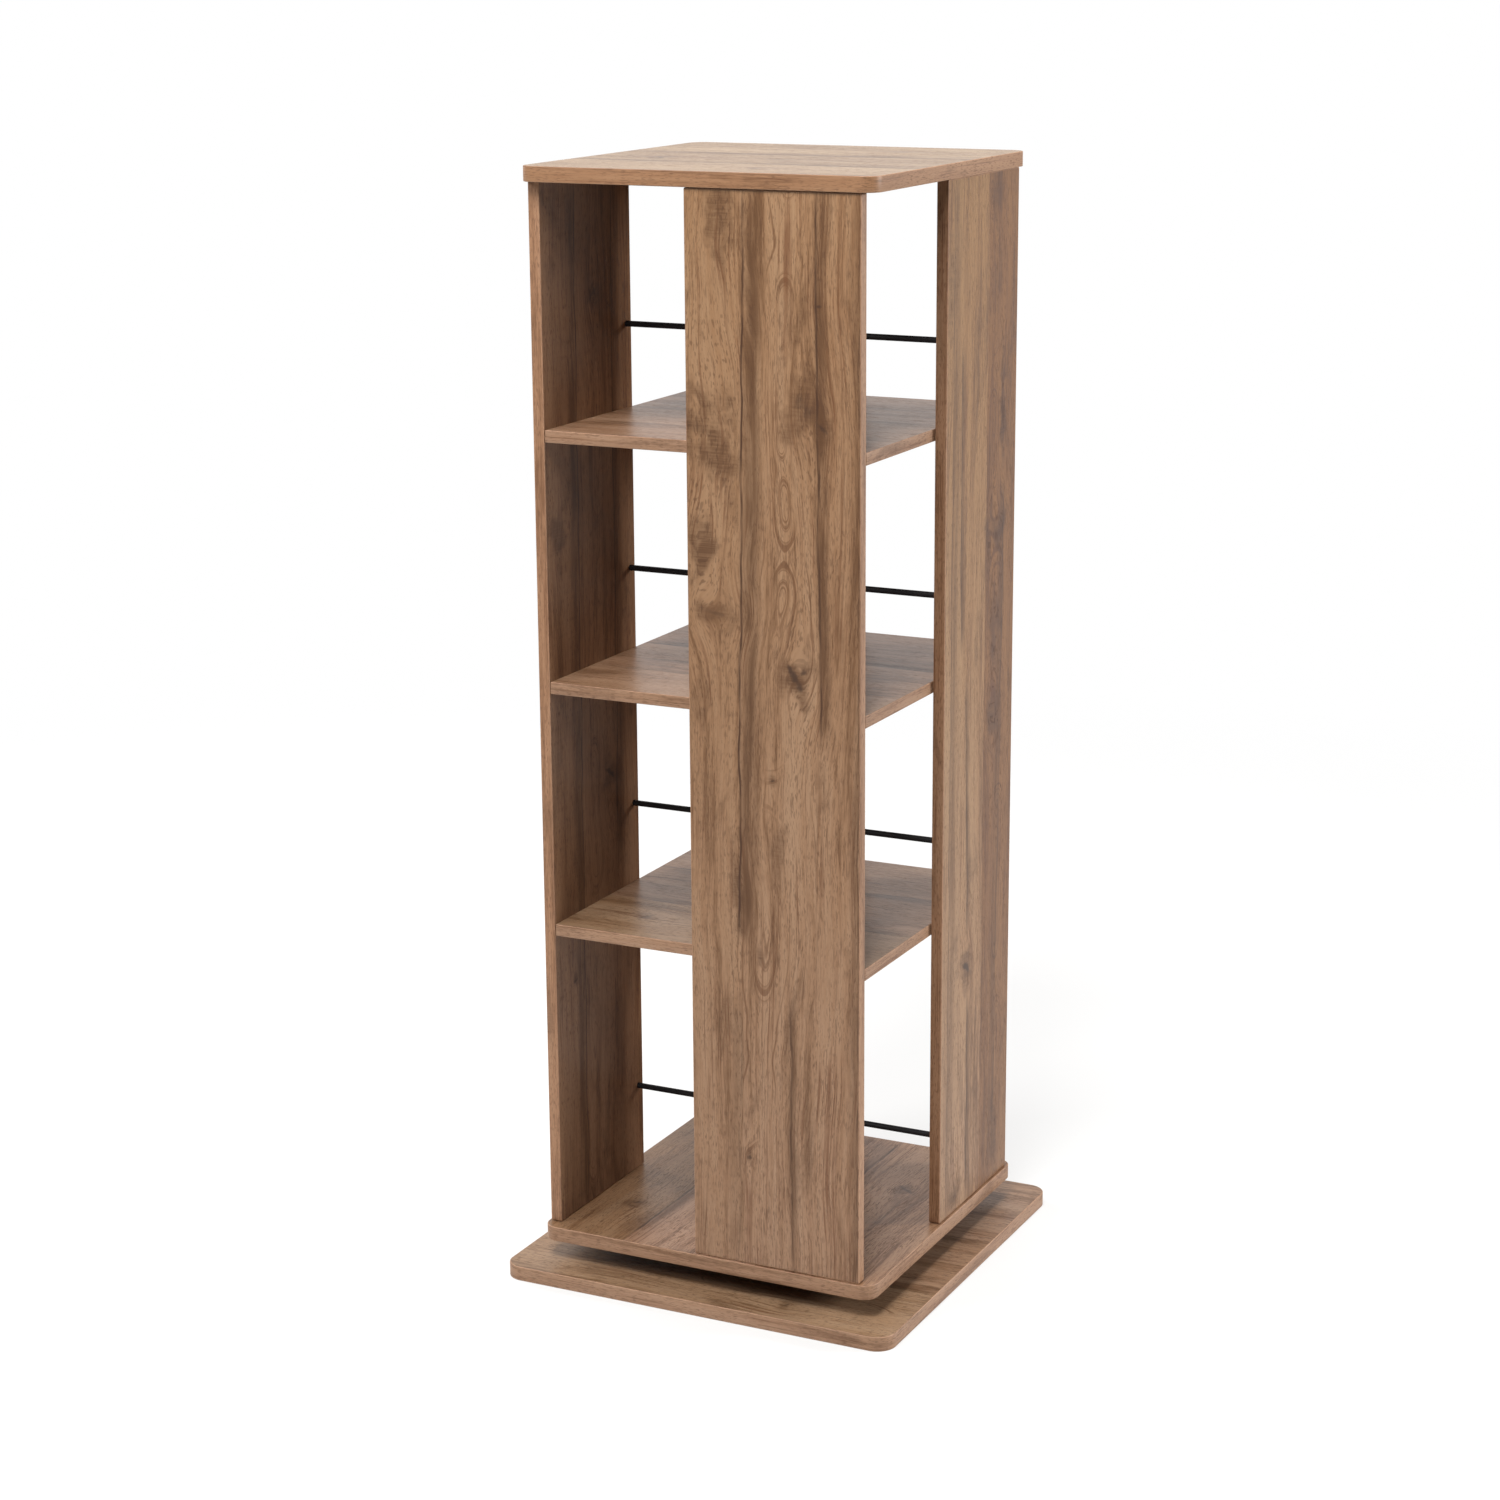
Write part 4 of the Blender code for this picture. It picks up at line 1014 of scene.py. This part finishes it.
# Dowels. One beech dowel joins each panel's upper end to the top board: turned, chamfered at both ends
# and glued in.
DOWEL_EASE = 0.0008
DOWEL_SIDES = 24
UPRIGHT = (0.0, 0.0, 0.0)

# Beech, turned and dry: a pale pinkish tan with short darker flecks 2 mm long.
beech = grained_finish(
    "turned_beech",
    cell=(0.4, 0.4, 2.0),
    detail=2.0,
    unevenness=0.5,
    span=(0.35, 0.6),
    colours=("#b58a62", "#d9b68c"),
    gloss=0.62,
    relief=(0.3, 0.1),
    sockets={},
)
turns = [UPRIGHT] * len(top_dowels)
make_repeated(plain_bars, "top_dowels", top_dowels, 2, turns, DOWEL_EASE, DOWEL_SIDES, beech)

# Studio. A pale floor that fades into a white surround, lit by five soft lamps: in front to the left and
# overhead, behind to both sides, and above, as in a product picture.
FLOOR_RADIUS = 3.2
FLOOR_SIDES = 96
FLOOR_FADE = (0.8, 2.6)
FLOOR_WHITE_SHARE = 0.6
SURROUND_LEVEL = 0.07
WHITE = (1.0, 1.0, 1.0, 1.0)


def white_share(add, for_camera):
    """How much of the white background a ray meets: all of it where it is mirrored or seen through
    something, and this share where the camera sees it."""
    ray = add("ShaderNodeLightPath").outputs
    mirrored = add("MAXIMUM", ray["Is Glossy Ray"], ray["Is Transmission Ray"])
    return add("MAXIMUM", add("MULTIPLY", ray["Is Camera Ray"], for_camera), mirrored)


def pale_floor():
    """Matt white studio sheet: it keeps a soft shadow and fades into the white surround."""
    material, add, where = new_material("matt_white_studio_floor")
    matt = add("ShaderNodeBsdfDiffuse", {"Color": linear("#e7e6e4")})
    white = add("ShaderNodeEmission", {"Color": WHITE})
    sheet = add("ShaderNodeMixShader", white_share(add, FLOOR_WHITE_SHARE), matt, white)
    distance = add("ShaderNodeVectorMath", where, operation="LENGTH")
    fade = add("ShaderNodeMapRange", distance, *FLOOR_FADE, **SOFT_ENDS)
    clear = add("ShaderNodeBsdfTransparent")
    add("ShaderNodeOutputMaterial", add("ShaderNodeMixShader", fade, sheet, clear))
    return material


floor_mesh = bmesh.new()
bmesh.ops.create_circle(floor_mesh, cap_ends=True, segments=FLOOR_SIDES, radius=FLOOR_RADIUS)
mesh = bpy.data.meshes.new("studio_floor")
floor_mesh.to_mesh(mesh)
floor_mesh.free()
mesh.materials.append(pale_floor())
floor = new_object("studio_floor", mesh)

# Each softbox faces the bookcase's middle. Place and side are in metres, and the power in watts.
# The last one isn't mirrored in the melamine, where it would show as a white patch from the right.
MIDDLE = Vector((0.0, 0.0, 0.56))
for name, place, side, power, mirrored in (
    ("softbox_front_left", (-3.6, -4.4, 4.6), 2.2, 205.0, True),
    ("softbox_back_right", (5.3, 2.6, 1.9), 1.1, 328.0, True),
    ("softbox_front_overhead", (0.25, -1.9, 3.4), 1.2, 125.0, True),
    ("softbox_overhead", (0.0, 0.9, 3.1), 1.2, 34.0, True),
    ("softbox_back_left", (-3.1, 0.9, 1.5), 1.2, 78.0, False),
):
    lamp = bpy.data.lights.new(name, "AREA")
    lamp.shape = "SQUARE"
    lamp.size = side
    lamp.energy = power
    softbox = new_object(name, lamp)
    softbox.location = place
    softbox.rotation_euler = (MIDDLE - Vector(place)).to_track_quat("-Z", "Y").to_euler()
    softbox.visible_glossy = mirrored

world = bpy.data.worlds.new("white_surround")
world.use_nodes = True
world.node_tree.nodes.clear()
bpy.context.scene.world = world
add = partial(add_node, world.node_tree)
level = add("ShaderNodeMapRange", white_share(add, 1.0), 0.0, 1.0, SURROUND_LEVEL, 1.0)
add("ShaderNodeOutputWorld", add("ShaderNodeBackground", {"Color": WHITE, "Strength": level}))

# Camera. In front and to the right, a little above the top board, at the angle of the photograph.
CAMERA_PLACE = (1.368, -2.838, 1.339)
CAMERA_YAW = math.radians(26.31)
CAMERA_PITCH = math.radians(-14.39)
CAMERA_ROLL = math.radians(-0.37)
CAMERA_LENS_MM = 77.1
camera_data = bpy.data.cameras.new("camera")
camera_data.lens = CAMERA_LENS_MM
camera = new_object("camera", camera_data)
camera.location = CAMERA_PLACE
level_view = Matrix.Rotation(CAMERA_YAW, 4, "Z") @ Matrix.Rotation(QUARTER + CAMERA_PITCH, 4, "X")
camera.rotation_euler = (level_view @ Matrix.Rotation(CAMERA_ROLL, 4, "Z")).to_euler("XYZ")
bpy.context.scene.camera = camera
bpy.context.scene.view_settings.view_transform = "Standard"
